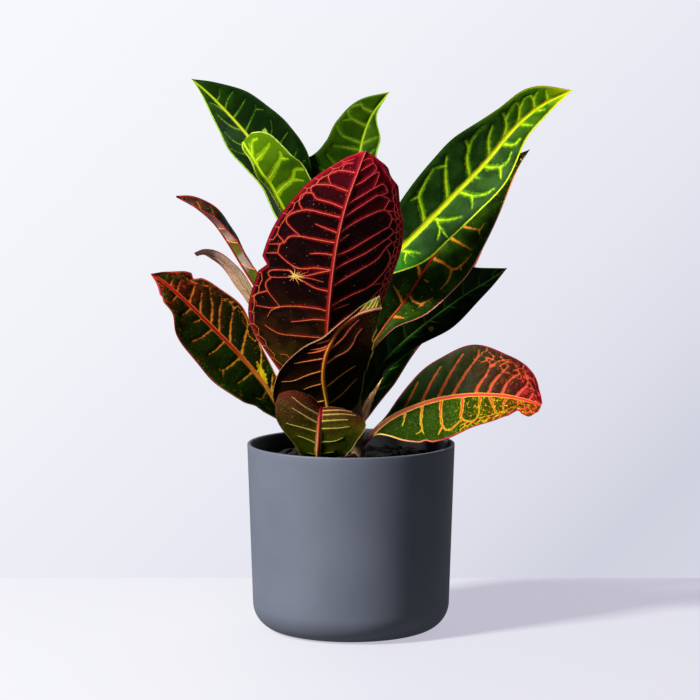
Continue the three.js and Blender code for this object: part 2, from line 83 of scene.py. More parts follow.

# Pot, as the frame has it. Its inner wall is painted darker from a depth below the rim down: painted shade.
POT_HEIGHT = 126.5
RIM_RADIUS = 70
FOOT_RADIUS = 66.5
POT_CORNER = 18.5
POT_WALL = 2.4
LIP_ROUNDING = 0.8
POT_SIDES = 192
WALL_ROWS = 12
WALL_SHARES = (0.05, 0.95)
CORNER_STEPS = 20
INNER_CORNER_STEPS = 10
LIP_STEPS = 6
FOOT_INSET = 6
DISH_RADIUS = 30
DISH_SLOPE = 1
DISH_DEPTH = 0.4
POT_SHADE_DEPTH = 3.5
POT_COLOURS = ((65, 69, 81), (70, 74, 86))
POT_SHADE_COLOUR = (21, 22, 26)
POT_CLOUD_SIZE = 40
POT_CLOUD_SPAN = (0.3, 0.7)
POT_GRAIN_SIZE = 0.9
POT_ROUGHNESS = 0.5
POT_ROUGHNESS_RANGE = 0.12
WELD_DISTANCE = 1e-6

# Soil: its top with random waves, and the clumps that lie on it
SOIL_LEVEL = 113.5
SOIL_GAP = 0.1
SOIL_RINGS = 60
SOIL_SIDES = 180
SOIL_SKIRT = 8
SOIL_WAVES = 40
SOIL_WAVE_RATES = (0.15, 1.3)
SOIL_WAVE_HEIGHT = 0.25
SOIL_WAVE_DAMPING = 0.5
SOIL_COLOURS = ((9, 7, 8), (21, 16, 15), (46, 36, 30))
SOIL_LUMP_SIZE = 6
SOIL_GRAIN_SIZE = 0.8
SOIL_SPECK_START = 0.55
CLUMPS = 520
CLUMP_RINGS = 6
CLUMP_SIDES = 9
CLUMP_AREA = 0.94
CLUMP_RISE = 0.9
SMALL_SIZES = (0.9, 3.0)
LARGE_SIZES = (3, 4.5)
SMALL_SHARE = 0.85
CLUMP_ROUGHNESS = 0.22
CLUMP_STRETCH = ((0.7, 1.4), (0.5, 1), (0.35, 0.7))
CLUMP_TILT = 0.6
CLUMP_TURN = 6.28

# Stem: centre x, y, z and radius, from inside the soil to the bud
STEM_LINE = [
    (6, 1, 100, 4.6), (5, 1, 114, 4.8), (4, 2, 140, 4.4), (1, 3, 170, 4.0), (-3, 4, 200, 3.7),
    (-6, 4, 228, 3.3), (-8, 4, 250, 2.8), (-9, 4, 264, 1.9), (-9, 4, 274, 0.5),
]
STEM_TOP = STEM_LINE[-1][2]
STEM_ROWS = 220
STEM_SIDES = 28
BARK_COLOURS = ((74, 54, 38), (104, 82, 60), (134, 112, 88))
BARK_LUMP_SIZE = 4
BARK_GRAIN_SIZE = 0.7
BARK_SPECK_START = 0.5
BUD_COLOUR = (96, 116, 52)
BUD_LENGTH = 14
# Heights in metres between which the bark turns green
GREEN_SPAN = (0.215, 0.262)
# Ridges along the bark: rise, count round the stem and turn in radians per mm
BARK_RIDGES = ((0.12, 3, 0.11), (0.08, 7, -0.23))
# Rings round the bark: heights from, to and apart, then rise, tilt and width
RING_HEIGHTS = (122, 262, 6.5)
RING_RISE = 0.28
RING_TILT = 0.8
RING_WIDTH = 0.8
# Scar at each stalk: rise, spread round the stem in radians and height
SCAR = (0.9, 0.7, 2.2)

# Lumps and specks of soil and bark: where they come in on their noise
LUMP_SPAN = (0.35, 0.65)
SPECK_END = 0.75

# Leaf blades: how fine they are, thickness, and how each half bends
CELL = 1.0
LEAST_COLUMNS = 6
WIDTH_STEPS = 60
DENSE_STEPS = 400
LEAST_PLACES = 8
EDGE_STEP = 0.6
SLOPE_STEP = 1e-3
ARC_STEPS = 24
BLADE_HALF = 0.27
EDGE_HALF = 0.14
EDGE_REACH = 2
LEAST_HALF_WIDTH = 0.2
CURL_POWER = 1.5
HEM_BEND_LENGTH = 5
WAVE_LAG = 0.25
RIPPLE_HEIGHT = 0.35
RIPPLES_PER_WAVE = 2.7
RIPPLE_LAG = 0.4
QUILT_HEIGHT = 0.55
QUILT_REACH = 3.0

# Stalks and midribs
STALK_START = 0.6
STALK_HALF_WIDTH = 1.3
STALK_HEM = (0.5, 0)
STALK_RADIUS = 1.45
STALK_FLARE = 0.9
STALK_FLARE_PARTS = 5
STALK_FADE = 0.8
RIB_SIDES = 14
RIB_RADIUS = 1.35
RIB_RADIUS_AT_TIP = 0.3
RIB_TAPER = 0.5
RIB_TAPER_POWER = 0.8
RIB_SINK = 0.5

# Veins, the nets of thin veins along some margins, and the star round a scar
VEIN_STEP = 0.7
LEAST_VEIN_STEPS = 3
LEAST_NET_STEPS = 4
VEIN_CORE = 0.4
VEIN_RIDGE = 0.62
VEIN_TAPER = 0.55
BRANCH_WIDTH = 0.65
LEAST_VEIN_WIDTH = 0.3
RIB_SHARE = 0.05
VEIN_CURVE_STEPS = 40
VEIN_RISE_ABOVE = 0.1
VEIN_RISE_BELOW = 0.3
VEIN_BEDDING = 0.04
VEIN_PROFILE = np.array([(-1, 0), (-0.5, 0.75), (0, 1), (0.5, 0.75), (1, 0)])
SPREAD_LAG = 0.12
SPREAD_SHARES = (0.45, 0.82)
NET_WIDTH = 0.4
NET_JITTER = 0.22
NET_DEPTH_JITTER = 0.2
NET_ZIGZAG = 0.35
NET_MARGIN = 0.985
NET_LIMITS = (0.1, 0.97)
STAR_LINES = 12
STAR_JITTER = 0.25
STAR_LENGTHS = (0.25, 1.0)
STAR_WIDTH = 0.5
STAR_TAPER = 0.6

# Distances for points that have no vein, margin or spot near them
FAR_OFF = 9
NO_SPOT = 99.0

# Bands painted along a leaf's lines: how far their edge wanders, and where it starts and ends to
# fade, all in widths of the band
BANDS = {
    "halo": (1.2, 1.35, 0.55), "margin": (0.8, 1.4, 0.7), "core": (1.1, 1.35, 0.75),
    "spot": (1.3, 1.3, 0.7), "rib_halo": (0.5, 1.2, 0.85), "rib": (0.4, 1.2, 0.8),
}
# Colours of all leaves are dimmed by one tone. Sizes are those of the grain, of the wander of the
# bands, of the web of fine lines, of specks, and of patches where a look gives none.
LEAF_TONE = 0.56
LEAF_ROUGHNESS = 0.5
GRAIN_SIZE = 1.1
WANDER_SIZE = 2.2
WEB_SIZE = 1.9
SPECK_SIZE = 1.4
PATCH_SIZE = 9
HALF_BLEND = 0.04
LEAF_BUMP = 0.00003
# Where a colour starts to come in and is full: on the noise for patches, specks and shade, on the
# web, and by the distance to the margin in mm, to the star in radii of its scar and to a vein
PATCH_SPAN = (0.4, 0.62)
SPECK_SPAN = (0.70, 0.76)
SHADE_SPAN = (0.2, 0.8)
WEB_SPAN = (0.0, 0.12)
LINE_SPAN = (0.75, 0.35)
STAR_SPAN = (4.2, 1.8)
STAR_LINE_SPAN = (0.6, 0.3)
BLOTCH_FADE = 0.1
EDGE_MOTTLE_FULL = 0.4
# Strength of the web where a look gives none, and of the shade in the grain
WEB_STRENGTH = 0.1
SHADE_STRENGTH = 0.15
SHADE_COLOUR = (6, 6, 4)
# Relief of the web and of the grain, as shares of LEAF_BUMP
WEB_RELIEF = 0.35
GRAIN_RELIEF = 0.5

# Looks of the sides of leaves. A colour is red, green and blue, with 255 as full brightness, and
# a few go above that because LEAF_TONE dims them all, and as painted light on the vein cores and
# margin of one leaf in shade and round the midrib of another. A list holds (place, red, green,
# blue) along the blade, from 0 at its base to 1 at its tip. A name with _right is for the right
# half. Widths and sizes are in mm. line: colour along the very margin. net: strength of the web.
# mottles: half, colour, size, threshold, and the places where they start and are full.
# edge_mottles: colour, size, threshold and reach from the margin.
CRIMSON_UNDER = dict(
    blade=[(0.18, 74, 62, 8), (0.3, 48, 26, 6), (0.42, 18, 3, 2), (0.66, 18, 1, 3), (0.84, 108, 7, 27),
           (0.92, 150, 10, 36)],
    blade_right=[(0.18, 60, 30, 8), (0.3, 44, 10, 5), (0.42, 30, 2, 3), (0.66, 34, 2, 5),
                 (0.84, 116, 8, 28), (0.92, 156, 10, 36)],
    patch=[(0.18, 44, 36, 5), (0.32, 22, 10, 3), (0.42, 6, 0, 1), (0.62, 16, 1, 3), (0.8, 86, 6, 22),
           (0.92, 140, 10, 34)],
    halo=[(0.16, 88, 44, 8), (0.28, 112, 18, 16), (0.4, 126, 4, 20), (0.7, 146, 8, 32), (1, 168, 12, 40)],
    halo_width=1.7,
    core=[(0.16, 206, 156, 46), (0.3, 236, 150, 60), (0.44, 236, 132, 66), (0.7, 232, 118, 74),
          (1, 220, 86, 74)],
    core_right=[(0.16, 206, 140, 60), (0.3, 240, 126, 80), (0.7, 236, 104, 86), (1, 226, 84, 80)],
    core_width=0.24, margin=[(0.1, 120, 44, 26), (0.36, 138, 7, 28), (1, 168, 10, 40)], margin_width=1.9,
    line=[(0.2, 190, 96, 56), (0.5, 180, 50, 50), (1, 186, 44, 52)],
    rib=[(0.1, 220, 110, 56), (0.6, 236, 124, 92), (1, 230, 96, 80)], rib_width=0.58,
    rib_halo=[(0.1, 140, 20, 14), (1, 158, 16, 38)], rib_halo_width=2.1, stalk=(96, 40, 36),
    specks=(140, 100, 60), spot=(236, 196, 96), gloss=0.03, net=0.05,
)
CRIMSON_UPPER = dict(
    blade=(16, 30, 8), patch=(34, 18, 8), halo=(110, 18, 22), halo_width=1.5, core=(206, 70, 52),
    margin=(140, 24, 40), margin_width=1.4, rib=(214, 60, 50), rib_width=1.0, rib_halo=(150, 26, 30),
    rib_halo_width=1.9, stalk=(96, 40, 36), roughness=0.4, gloss=0.25,
)
GREEN_UPPER = dict(
    blade=[(0.3, 2, 16, 0), (0.8, 7, 29, 0), (1, 30, 60, 3)],
    patch=[(0.3, 8, 30, 1), (0.8, 18, 48, 2), (1, 40, 76, 4)], patch_size=14, halo=(36, 70, 4),
    halo_width=1.3, core=(104, 130, 24), core_width=0.5, margin=(150, 196, 40), margin_right=(26, 58, 10),
    margin_width=0.8, rib=[(0.3, 206, 190, 20), (1, 150, 176, 34)], rib_width=1.15, rib_halo=(110, 140, 16),
    rib_halo_width=1.8, stalk=(110, 140, 50), spot=(130, 170, 50), roughness=0.48, gloss=0.03,
)
GREEN_UNDER = dict(
    blade=(66, 98, 38), patch=(80, 112, 46), halo=(104, 132, 54), halo_width=1.4, core=(150, 170, 84),
    margin=(140, 170, 70), margin_width=0.8, rib=(176, 186, 90), rib_width=1.0, rib_halo=(120, 150, 60),
    rib_halo_width=1.8, stalk=(110, 140, 50), gloss=0.15,
)
LIME_UPPER = dict(
    blade=[(0.3, 28, 66, 0), (0.7, 66, 99, 0), (1, 78, 112, 0)],
    patch=[(0.3, 42, 80, 0), (0.7, 50, 84, 0), (1, 94, 130, 2)], patch_size=16, halo=(116, 151, 4),
    halo_width=2.6, core=(186, 206, 44), core_width=0.55, margin=(190, 214, 80), margin_width=0.6,
    rib=(176, 204, 26), rib_width=0.9, rib_halo=(136, 170, 6), rib_halo_width=1.9, stalk=(150, 190, 60),
    roughness=0.48, gloss=0.03,
)
LIME_UNDER = dict(
    blade=(150, 172, 116), patch=(160, 184, 120), halo=(170, 196, 120), halo_width=1.6,
    core=(190, 210, 130), margin=(200, 220, 120), margin_width=0.7, rib=(196, 214, 130), rib_width=1.0,
    rib_halo=(170, 196, 110), rib_halo_width=1.9, stalk=(150, 190, 60), gloss=0.15,
)
TOP_UPPER = dict(
    GREEN_UPPER, blade=[(0.3, 16, 52, 0), (0.9, 54, 86, 0)], patch=[(0.3, 10, 40, 0), (0.9, 38, 69, 0)],
    halo=[(0.3, 44, 84, 8), (1, 86, 120, 8)], halo_width=2.0, core=[(0.3, 84, 118, 22), (1, 140, 166, 30)],
    core_width=0.55, rib=(164, 190, 26), rib_halo=(98, 134, 14), rib_width=0.9, rib_halo_width=1.6,
    margin=(90, 130, 34), margin_right=(120, 156, 34), spot=(120, 160, 40),
)
# The grey-green blade and patches in the middle of the blade are partly mottling and partly a painted
# sheen.
BRIGHT_UPPER = dict(
    blade=[(0.06, 8, 56, 2), (0.2, 6, 36, 4), (0.34, 12, 40, 6), (0.7, 20, 50, 12), (0.9, 48, 98, 4),
           (0.97, 150, 180, 4), (1, 226, 180, 16)],
    blade_right=[(0.1, 22, 112, 2), (0.25, 20, 92, 2), (0.36, 20, 56, 8), (0.7, 24, 54, 12),
                 (0.9, 52, 98, 4), (0.97, 150, 180, 4), (1, 226, 180, 16)],
    patch_right=[(0.1, 14, 90, 2), (0.25, 40, 124, 4), (0.36, 38, 78, 18), (0.7, 42, 78, 20),
                 (0.9, 74, 122, 6), (0.97, 170, 190, 4), (1, 230, 150, 20)],
    patch=[(0.06, 12, 66, 4), (0.2, 10, 46, 6), (0.34, 30, 60, 18), (0.7, 40, 72, 22), (0.9, 72, 122, 6),
           (0.97, 170, 190, 4), (1, 230, 150, 20)], patch_size=12,
    halo=[(0.2, 60, 128, 4), (1, 104, 160, 2)], halo_width=2.5, core=(190, 212, 22), core_width=0.9,
    ragged=1.4, margin=[(0.3, 40, 84, 10), (0.7, 80, 130, 12), (1, 206, 212, 20)],
    margin_right=[(0.5, 180, 206, 34), (1, 220, 212, 20)], margin_width=0.9,
    rib=[(0.1, 160, 176, 16), (0.3, 200, 210, 22), (1, 212, 212, 20)], rib_width=2.1,
    rib_halo=(120, 164, 4), rib_halo_width=2.9, stalk=(140, 170, 50), spot=(150, 196, 12),
    gloss=0.03,
)
# Its vein cores and margin go above 255, partly against LEAF_TONE and partly as painted light on a leaf
# that lies in shade.
DARK_UPPER = dict(
    blade=(20, 52, 2), patch=(46, 86, 5), halo=(120, 104, 8), halo_width=1.6,
    core=[(0.2, 262, 138, 50), (0.5, 270, 158, 48), (0.8, 236, 176, 44)], core_width=0.95, ragged=1.6,
    margin=[(0.15, 120, 30, 24), (0.42, 310, 190, 150), (0.78, 300, 176, 140), (0.9, 120, 50, 30),
            (0.96, 20, 14, 8)], margin_width=0.6,
    rib=[(0.1, 220, 120, 34), (0.5, 190, 34, 30), (0.9, 40, 16, 10)], rib_width=0.8,
    rib_halo=[(0.1, 110, 16, 12), (0.9, 24, 14, 8)], rib_halo_width=1.3, stalk=(110, 40, 34),
    specks=(190, 210, 40), roughness=0.45, gloss=0.04,
)
DARK_UNDER = dict(
    blade=(50, 16, 20), patch=(64, 22, 24), halo=(110, 30, 32), halo_width=1.4, core=(196, 104, 76),
    margin=(180, 70, 70), margin_width=1.0, rib=(206, 120, 84), rib_width=1.0, rib_halo=(140, 50, 44),
    rib_halo_width=1.8, stalk=(110, 40, 34), gloss=0.1, patch_size=6, net=0.22,
)
DEEP_UPPER = dict(
    blade=(5, 22, 2), patch=(10, 36, 4), halo=(18, 50, 8), halo_width=1.2,
    core=[(0.3, 20, 44, 8), (0.6, 54, 96, 24)], core_width=0.35, margin=(40, 70, 20), margin_width=0.6,
    rib=[(0.25, 20, 40, 8), (0.5, 84, 130, 30)], rib_width=0.6, rib_halo=(30, 70, 14), rib_halo_width=1.2,
    stalk=(60, 70, 34), spot=(150, 150, 40), roughness=0.42, gloss=0.05,
)
# The halo round its midrib goes far above 255: painted light on a midrib that lies in shade.
PINK_RIB_UPPER = dict(
    DEEP_UPPER, blade=(10, 56, 4), patch=(18, 72, 8), core=(150, 190, 50), halo=(60, 120, 20),
    core_width=0.6, rib=[(0.1, 200, 120, 80), (0.45, 200, 120, 60), (0.8, 140, 170, 50)], rib_width=0.5,
    rib_halo=[(0.1, 320, 240, 180), (0.45, 320, 250, 130), (0.8, 220, 220, 90)], rib_halo_width=3,
    margin=(220, 110, 110), margin_width=0.9, stalk=(230, 160, 130),
)
FOLDED_UPPER = dict(
    DARK_UPPER, blade=[(0.78, 8, 30, 5), (0.86, 56, 33, 28)], patch=[(0.78, 16, 36, 8), (0.86, 98, 58, 48)],
    core=(220, 116, 30), halo=(84, 56, 16), core_width=0.85, margin=(190, 44, 50), margin_width=1.0,
)
FOLDED_UNDER = dict(
    blade=[(0.49, 70, 86, 0), (0.52, 160, 152, 146), (0.57, 150, 140, 124), (0.59, 86, 88, 12),
           (0.64, 96, 92, 24), (0.66, 160, 132, 122), (0.76, 120, 82, 76), (0.9, 80, 24, 26)],
    patch=[(0.49, 84, 96, 4), (0.52, 140, 134, 128), (0.57, 160, 146, 130), (0.59, 100, 96, 22),
           (0.64, 110, 100, 34), (0.66, 176, 140, 126), (0.76, 140, 96, 88), (0.9, 100, 44, 40)],
    halo=[(0.3, 150, 90, 30), (0.8, 150, 84, 64)], halo_width=0.8,
    core=[(0.3, 240, 150, 50), (1, 230, 130, 90)], core_width=0.9, margin=(190, 36, 46), margin_width=1.3,
    rib=(216, 120, 70), rib_width=0.8, rib_halo=(170, 60, 50), rib_halo_width=1.4, stalk=(150, 90, 60),
    gloss=0.1, patch_size=7,
)
PALE_UNDER = dict(
    blade=[(0.3, 116, 106, 64), (0.6, 150, 128, 96), (0.9, 176, 130, 122)],
    patch=[(0.3, 90, 90, 36), (0.6, 176, 150, 136), (0.9, 196, 150, 142)], patch_size=4,
    halo=(150, 108, 88), halo_width=0.9, core=[(0.4, 214, 200, 110), (0.8, 206, 150, 130)], core_width=0.4,
    margin=[(0.5, 210, 120, 116), (1, 160, 60, 66)], margin_width=0.9, rib=(200, 146, 114), rib_width=0.6,
    rib_halo=(160, 110, 90), rib_halo_width=1.2, stalk=(180, 130, 100), roughness=0.55, gloss=0.1,
)
RED_RIB_UPPER = dict(
    blade=[(0.1, 8, 38, 2), (0.6, 8, 28, 1), (0.9, 30, 30, 3)],
    blade_right=[(0.1, 5, 26, 2), (0.5, 8, 24, 1), (0.75, 36, 12, 2), (0.95, 34, 44, 4)],
    patch=[(0.1, 14, 52, 4), (0.6, 14, 38, 3), (0.9, 50, 20, 4)],
    patch_right=[(0.1, 8, 34, 3), (0.5, 22, 24, 2), (0.75, 70, 14, 6), (0.95, 44, 50, 6)],
    halo=[(0.2, 120, 116, 8), (0.5, 120, 60, 8), (1, 110, 36, 8)], halo_width=1.2,
    core=[(0.15, 230, 200, 40), (0.35, 226, 150, 40), (0.6, 220, 110, 36), (0.8, 216, 84, 34)],
    core_width=0.66, ragged=2.2, margin=[(0.2, 170, 150, 80), (0.4, 190, 70, 74), (1, 196, 40, 60)],
    margin_width=0.75,
    rib=[(0.05, 216, 170, 46), (0.24, 214, 160, 52), (0.34, 200, 112, 32), (0.42, 170, 40, 8),
         (0.54, 166, 9, 4), (1, 194, 26, 16)], rib_width=1.25,
    rib_halo=[(0.1, 190, 116, 40), (0.35, 190, 100, 36), (0.5, 190, 104, 50), (1, 170, 66, 34)],
    rib_halo_width=2.05, stalk=(110, 66, 40), roughness=0.48, gloss=0.03, spot=(216, 184, 22),
    specks=(80, 120, 30), mottles=[("both", [(0.6, 150, 40, 10), (1, 170, 40, 20)], 3.4, 0.54, 0.55, 0.85)],
    edge_mottles=[((44, 88, 12), 3, 0.56, 7), ((170, 60, 14), 2.4, 0.6, 8)],
)
CURLED_UNDER = dict(
    blade=[(0.1, 14, 26, 2), (0.4, 16, 3, 1), (0.78, 24, 4, 3), (0.84, 60, 90, 16), (1, 70, 96, 24)],
    blade_right=[(0.1, 6, 24, 1), (0.4, 5, 10, 1), (1, 22, 8, 3)],
    patch=[(0.1, 16, 30, 4), (0.4, 18, 5, 3), (0.78, 28, 7, 6), (0.84, 90, 110, 30), (1, 130, 110, 60)],
    patch_right=[(0.1, 10, 26, 3), (0.4, 8, 14, 2), (1, 24, 14, 5)],
    halo=[(0.4, 110, 26, 10), (0.8, 116, 24, 14), (0.88, 150, 130, 60)], halo_width=1.25,
    core=[(0.15, 214, 170, 64), (0.45, 216, 112, 64), (0.8, 210, 96, 70), (0.88, 210, 190, 80)],
    core_right=[(0.15, 190, 150, 66), (0.45, 166, 104, 60), (0.7, 150, 66, 48), (0.82, 130, 56, 44),
                (0.88, 210, 190, 80)], core_width=0.58,
    margin=[(0.6, 196, 130, 96), (0.85, 140, 160, 80), (1, 206, 180, 120)], margin_right=(110, 112, 44),
    margin_width=0.7,
    rib=[(0.1, 196, 150, 44), (0.5, 196, 112, 36), (0.72, 150, 70, 40), (0.85, 206, 140, 110)],
    rib_width=1.4, rib_halo=[(0.3, 90, 34, 10), (0.85, 150, 60, 50)], rib_halo_width=2.1,
    stalk=(140, 100, 50), gloss=0.015, patch_size=5,
)
CURLED_UPPER = dict(
    blade=[(0.5, 26, 42, 10), (1, 90, 120, 36)], patch=[(0.5, 40, 46, 18), (1, 140, 110, 60)],
    patch_size=3.5, halo=(130, 60, 50), halo_width=1.0, core=(206, 120, 90), core_width=0.5,
    margin=[(0.5, 160, 110, 84), (1, 206, 120, 104)], margin_width=0.8, rib=(200, 80, 60), rib_width=1.0,
    rib_halo=(190, 120, 60), rib_halo_width=1.6, stalk=(140, 100, 50), roughness=0.42, gloss=0.15,
)
OLIVE_UNDER = dict(
    blade=[(0.05, 26, 62, 0), (0.35, 40, 54, 0), (0.5, 46, 38, 3), (0.6, 52, 29, 12), (0.66, 88, 6, 16)],
    blade_right=[(0.05, 21, 51, 0), (0.35, 34, 54, 0), (0.56, 48, 53, 0), (0.61, 62, 32, 10),
                 (0.66, 90, 6, 16)],
    patch=[(0.05, 20, 48, 0), (0.35, 54, 54, 4), (0.5, 62, 42, 14), (0.62, 62, 30, 20), (0.7, 66, 6, 12)],
    halo=[(0.1, 80, 104, 8), (0.6, 116, 88, 26)], halo_width=1.0,
    core=[(0.1, 160, 176, 56), (0.4, 190, 180, 84), (0.6, 190, 160, 96)], core_width=0.38,
    margin=[(0.1, 160, 160, 76), (0.5, 110, 80, 46), (0.7, 110, 10, 20)], margin_width=0.6,
    rib=[(0.05, 130, 90, 20), (0.35, 150, 70, 46), (0.62, 120, 12, 20)], rib_width=0.75,
    rib_halo=[(0.05, 176, 160, 44), (0.35, 196, 128, 76), (0.55, 186, 76, 60), (0.66, 130, 12, 22)],
    rib_halo_width=2.4, stalk=(160, 120, 60), gloss=0.02, specks=(124, 110, 40),
    patch_size=5, net=0.3,
)
OLIVE_UPPER = dict(
    CRIMSON_UPPER, blade=(40, 60, 16), patch=(60, 40, 20),
)
MOTTLED_UPPER = dict(
    # The grey-green at the middle of the left half's blade is a painted sheen.
    blade=[(0.1, 6, 24, 4), (0.35, 8, 32, 8), (0.5, 44, 56, 34), (0.62, 44, 32, 20), (0.75, 56, 20, 12),
           (1, 90, 12, 14)],
    blade_right=[(0.1, 4, 36, 0), (0.5, 12, 45, 0), (0.75, 40, 48, 3), (1, 60, 46, 6)],
    patch=[(0.1, 10, 34, 6), (0.45, 16, 44, 10), (0.6, 40, 34, 24), (0.75, 62, 14, 14), (1, 116, 16, 20)],
    patch_right=[(0.1, 3, 22, 0), (0.5, 22, 64, 0), (0.75, 60, 62, 4), (1, 80, 40, 8)],
    halo=[(0.1, 20, 34, 8), (0.3, 54, 48, 10), (0.45, 124, 84, 20), (0.6, 176, 96, 34), (0.8, 190, 60, 44)],
    halo_right=[(0.1, 140, 160, 26), (0.5, 200, 170, 26), (0.8, 206, 100, 26)], halo_width=1.25,
    core=[(0.1, 80, 50, 24), (0.3, 124, 40, 26), (0.45, 190, 62, 42), (0.6, 224, 76, 62), (1, 234, 70, 72)],
    core_right=[(0.1, 220, 140, 60), (0.4, 214, 60, 34), (0.8, 216, 50, 40)], core_width=0.66, ragged=1.7,
    margin=[(0.05, 90, 50, 50), (0.5, 130, 14, 42), (1, 160, 14, 52)],
    margin_right=[(0.05, 226, 206, 110), (0.3, 214, 130, 90), (0.45, 180, 32, 42), (1, 154, 12, 44)],
    margin_width=0.8, rib=[(0.02, 130, 80, 60), (0.2, 226, 110, 90), (0.5, 232, 66, 64), (1, 226, 46, 56)],
    rib_width=1.3, rib_halo=[(0.1, 220, 190, 90), (0.6, 226, 170, 44), (1, 226, 90, 34)],
    rib_halo_width=2.0, stalk=(96, 52, 60), gloss=0.01,
    mottles=[("both", [(0.5, 110, 90, 14), (0.75, 160, 36, 26), (1, 196, 36, 40)], 3.2, 0.52, 0.5, 0.85),
             ("both", [(0.5, 90, 120, 10), (0.8, 190, 120, 24)], 1.9, 0.63, 0.4, 0.75),
             ("right", [(0.4, 110, 140, 8), (0.7, 226, 180, 24), (0.9, 226, 120, 30)],
              2.2, 0.54, 0.36, 0.66)],
)

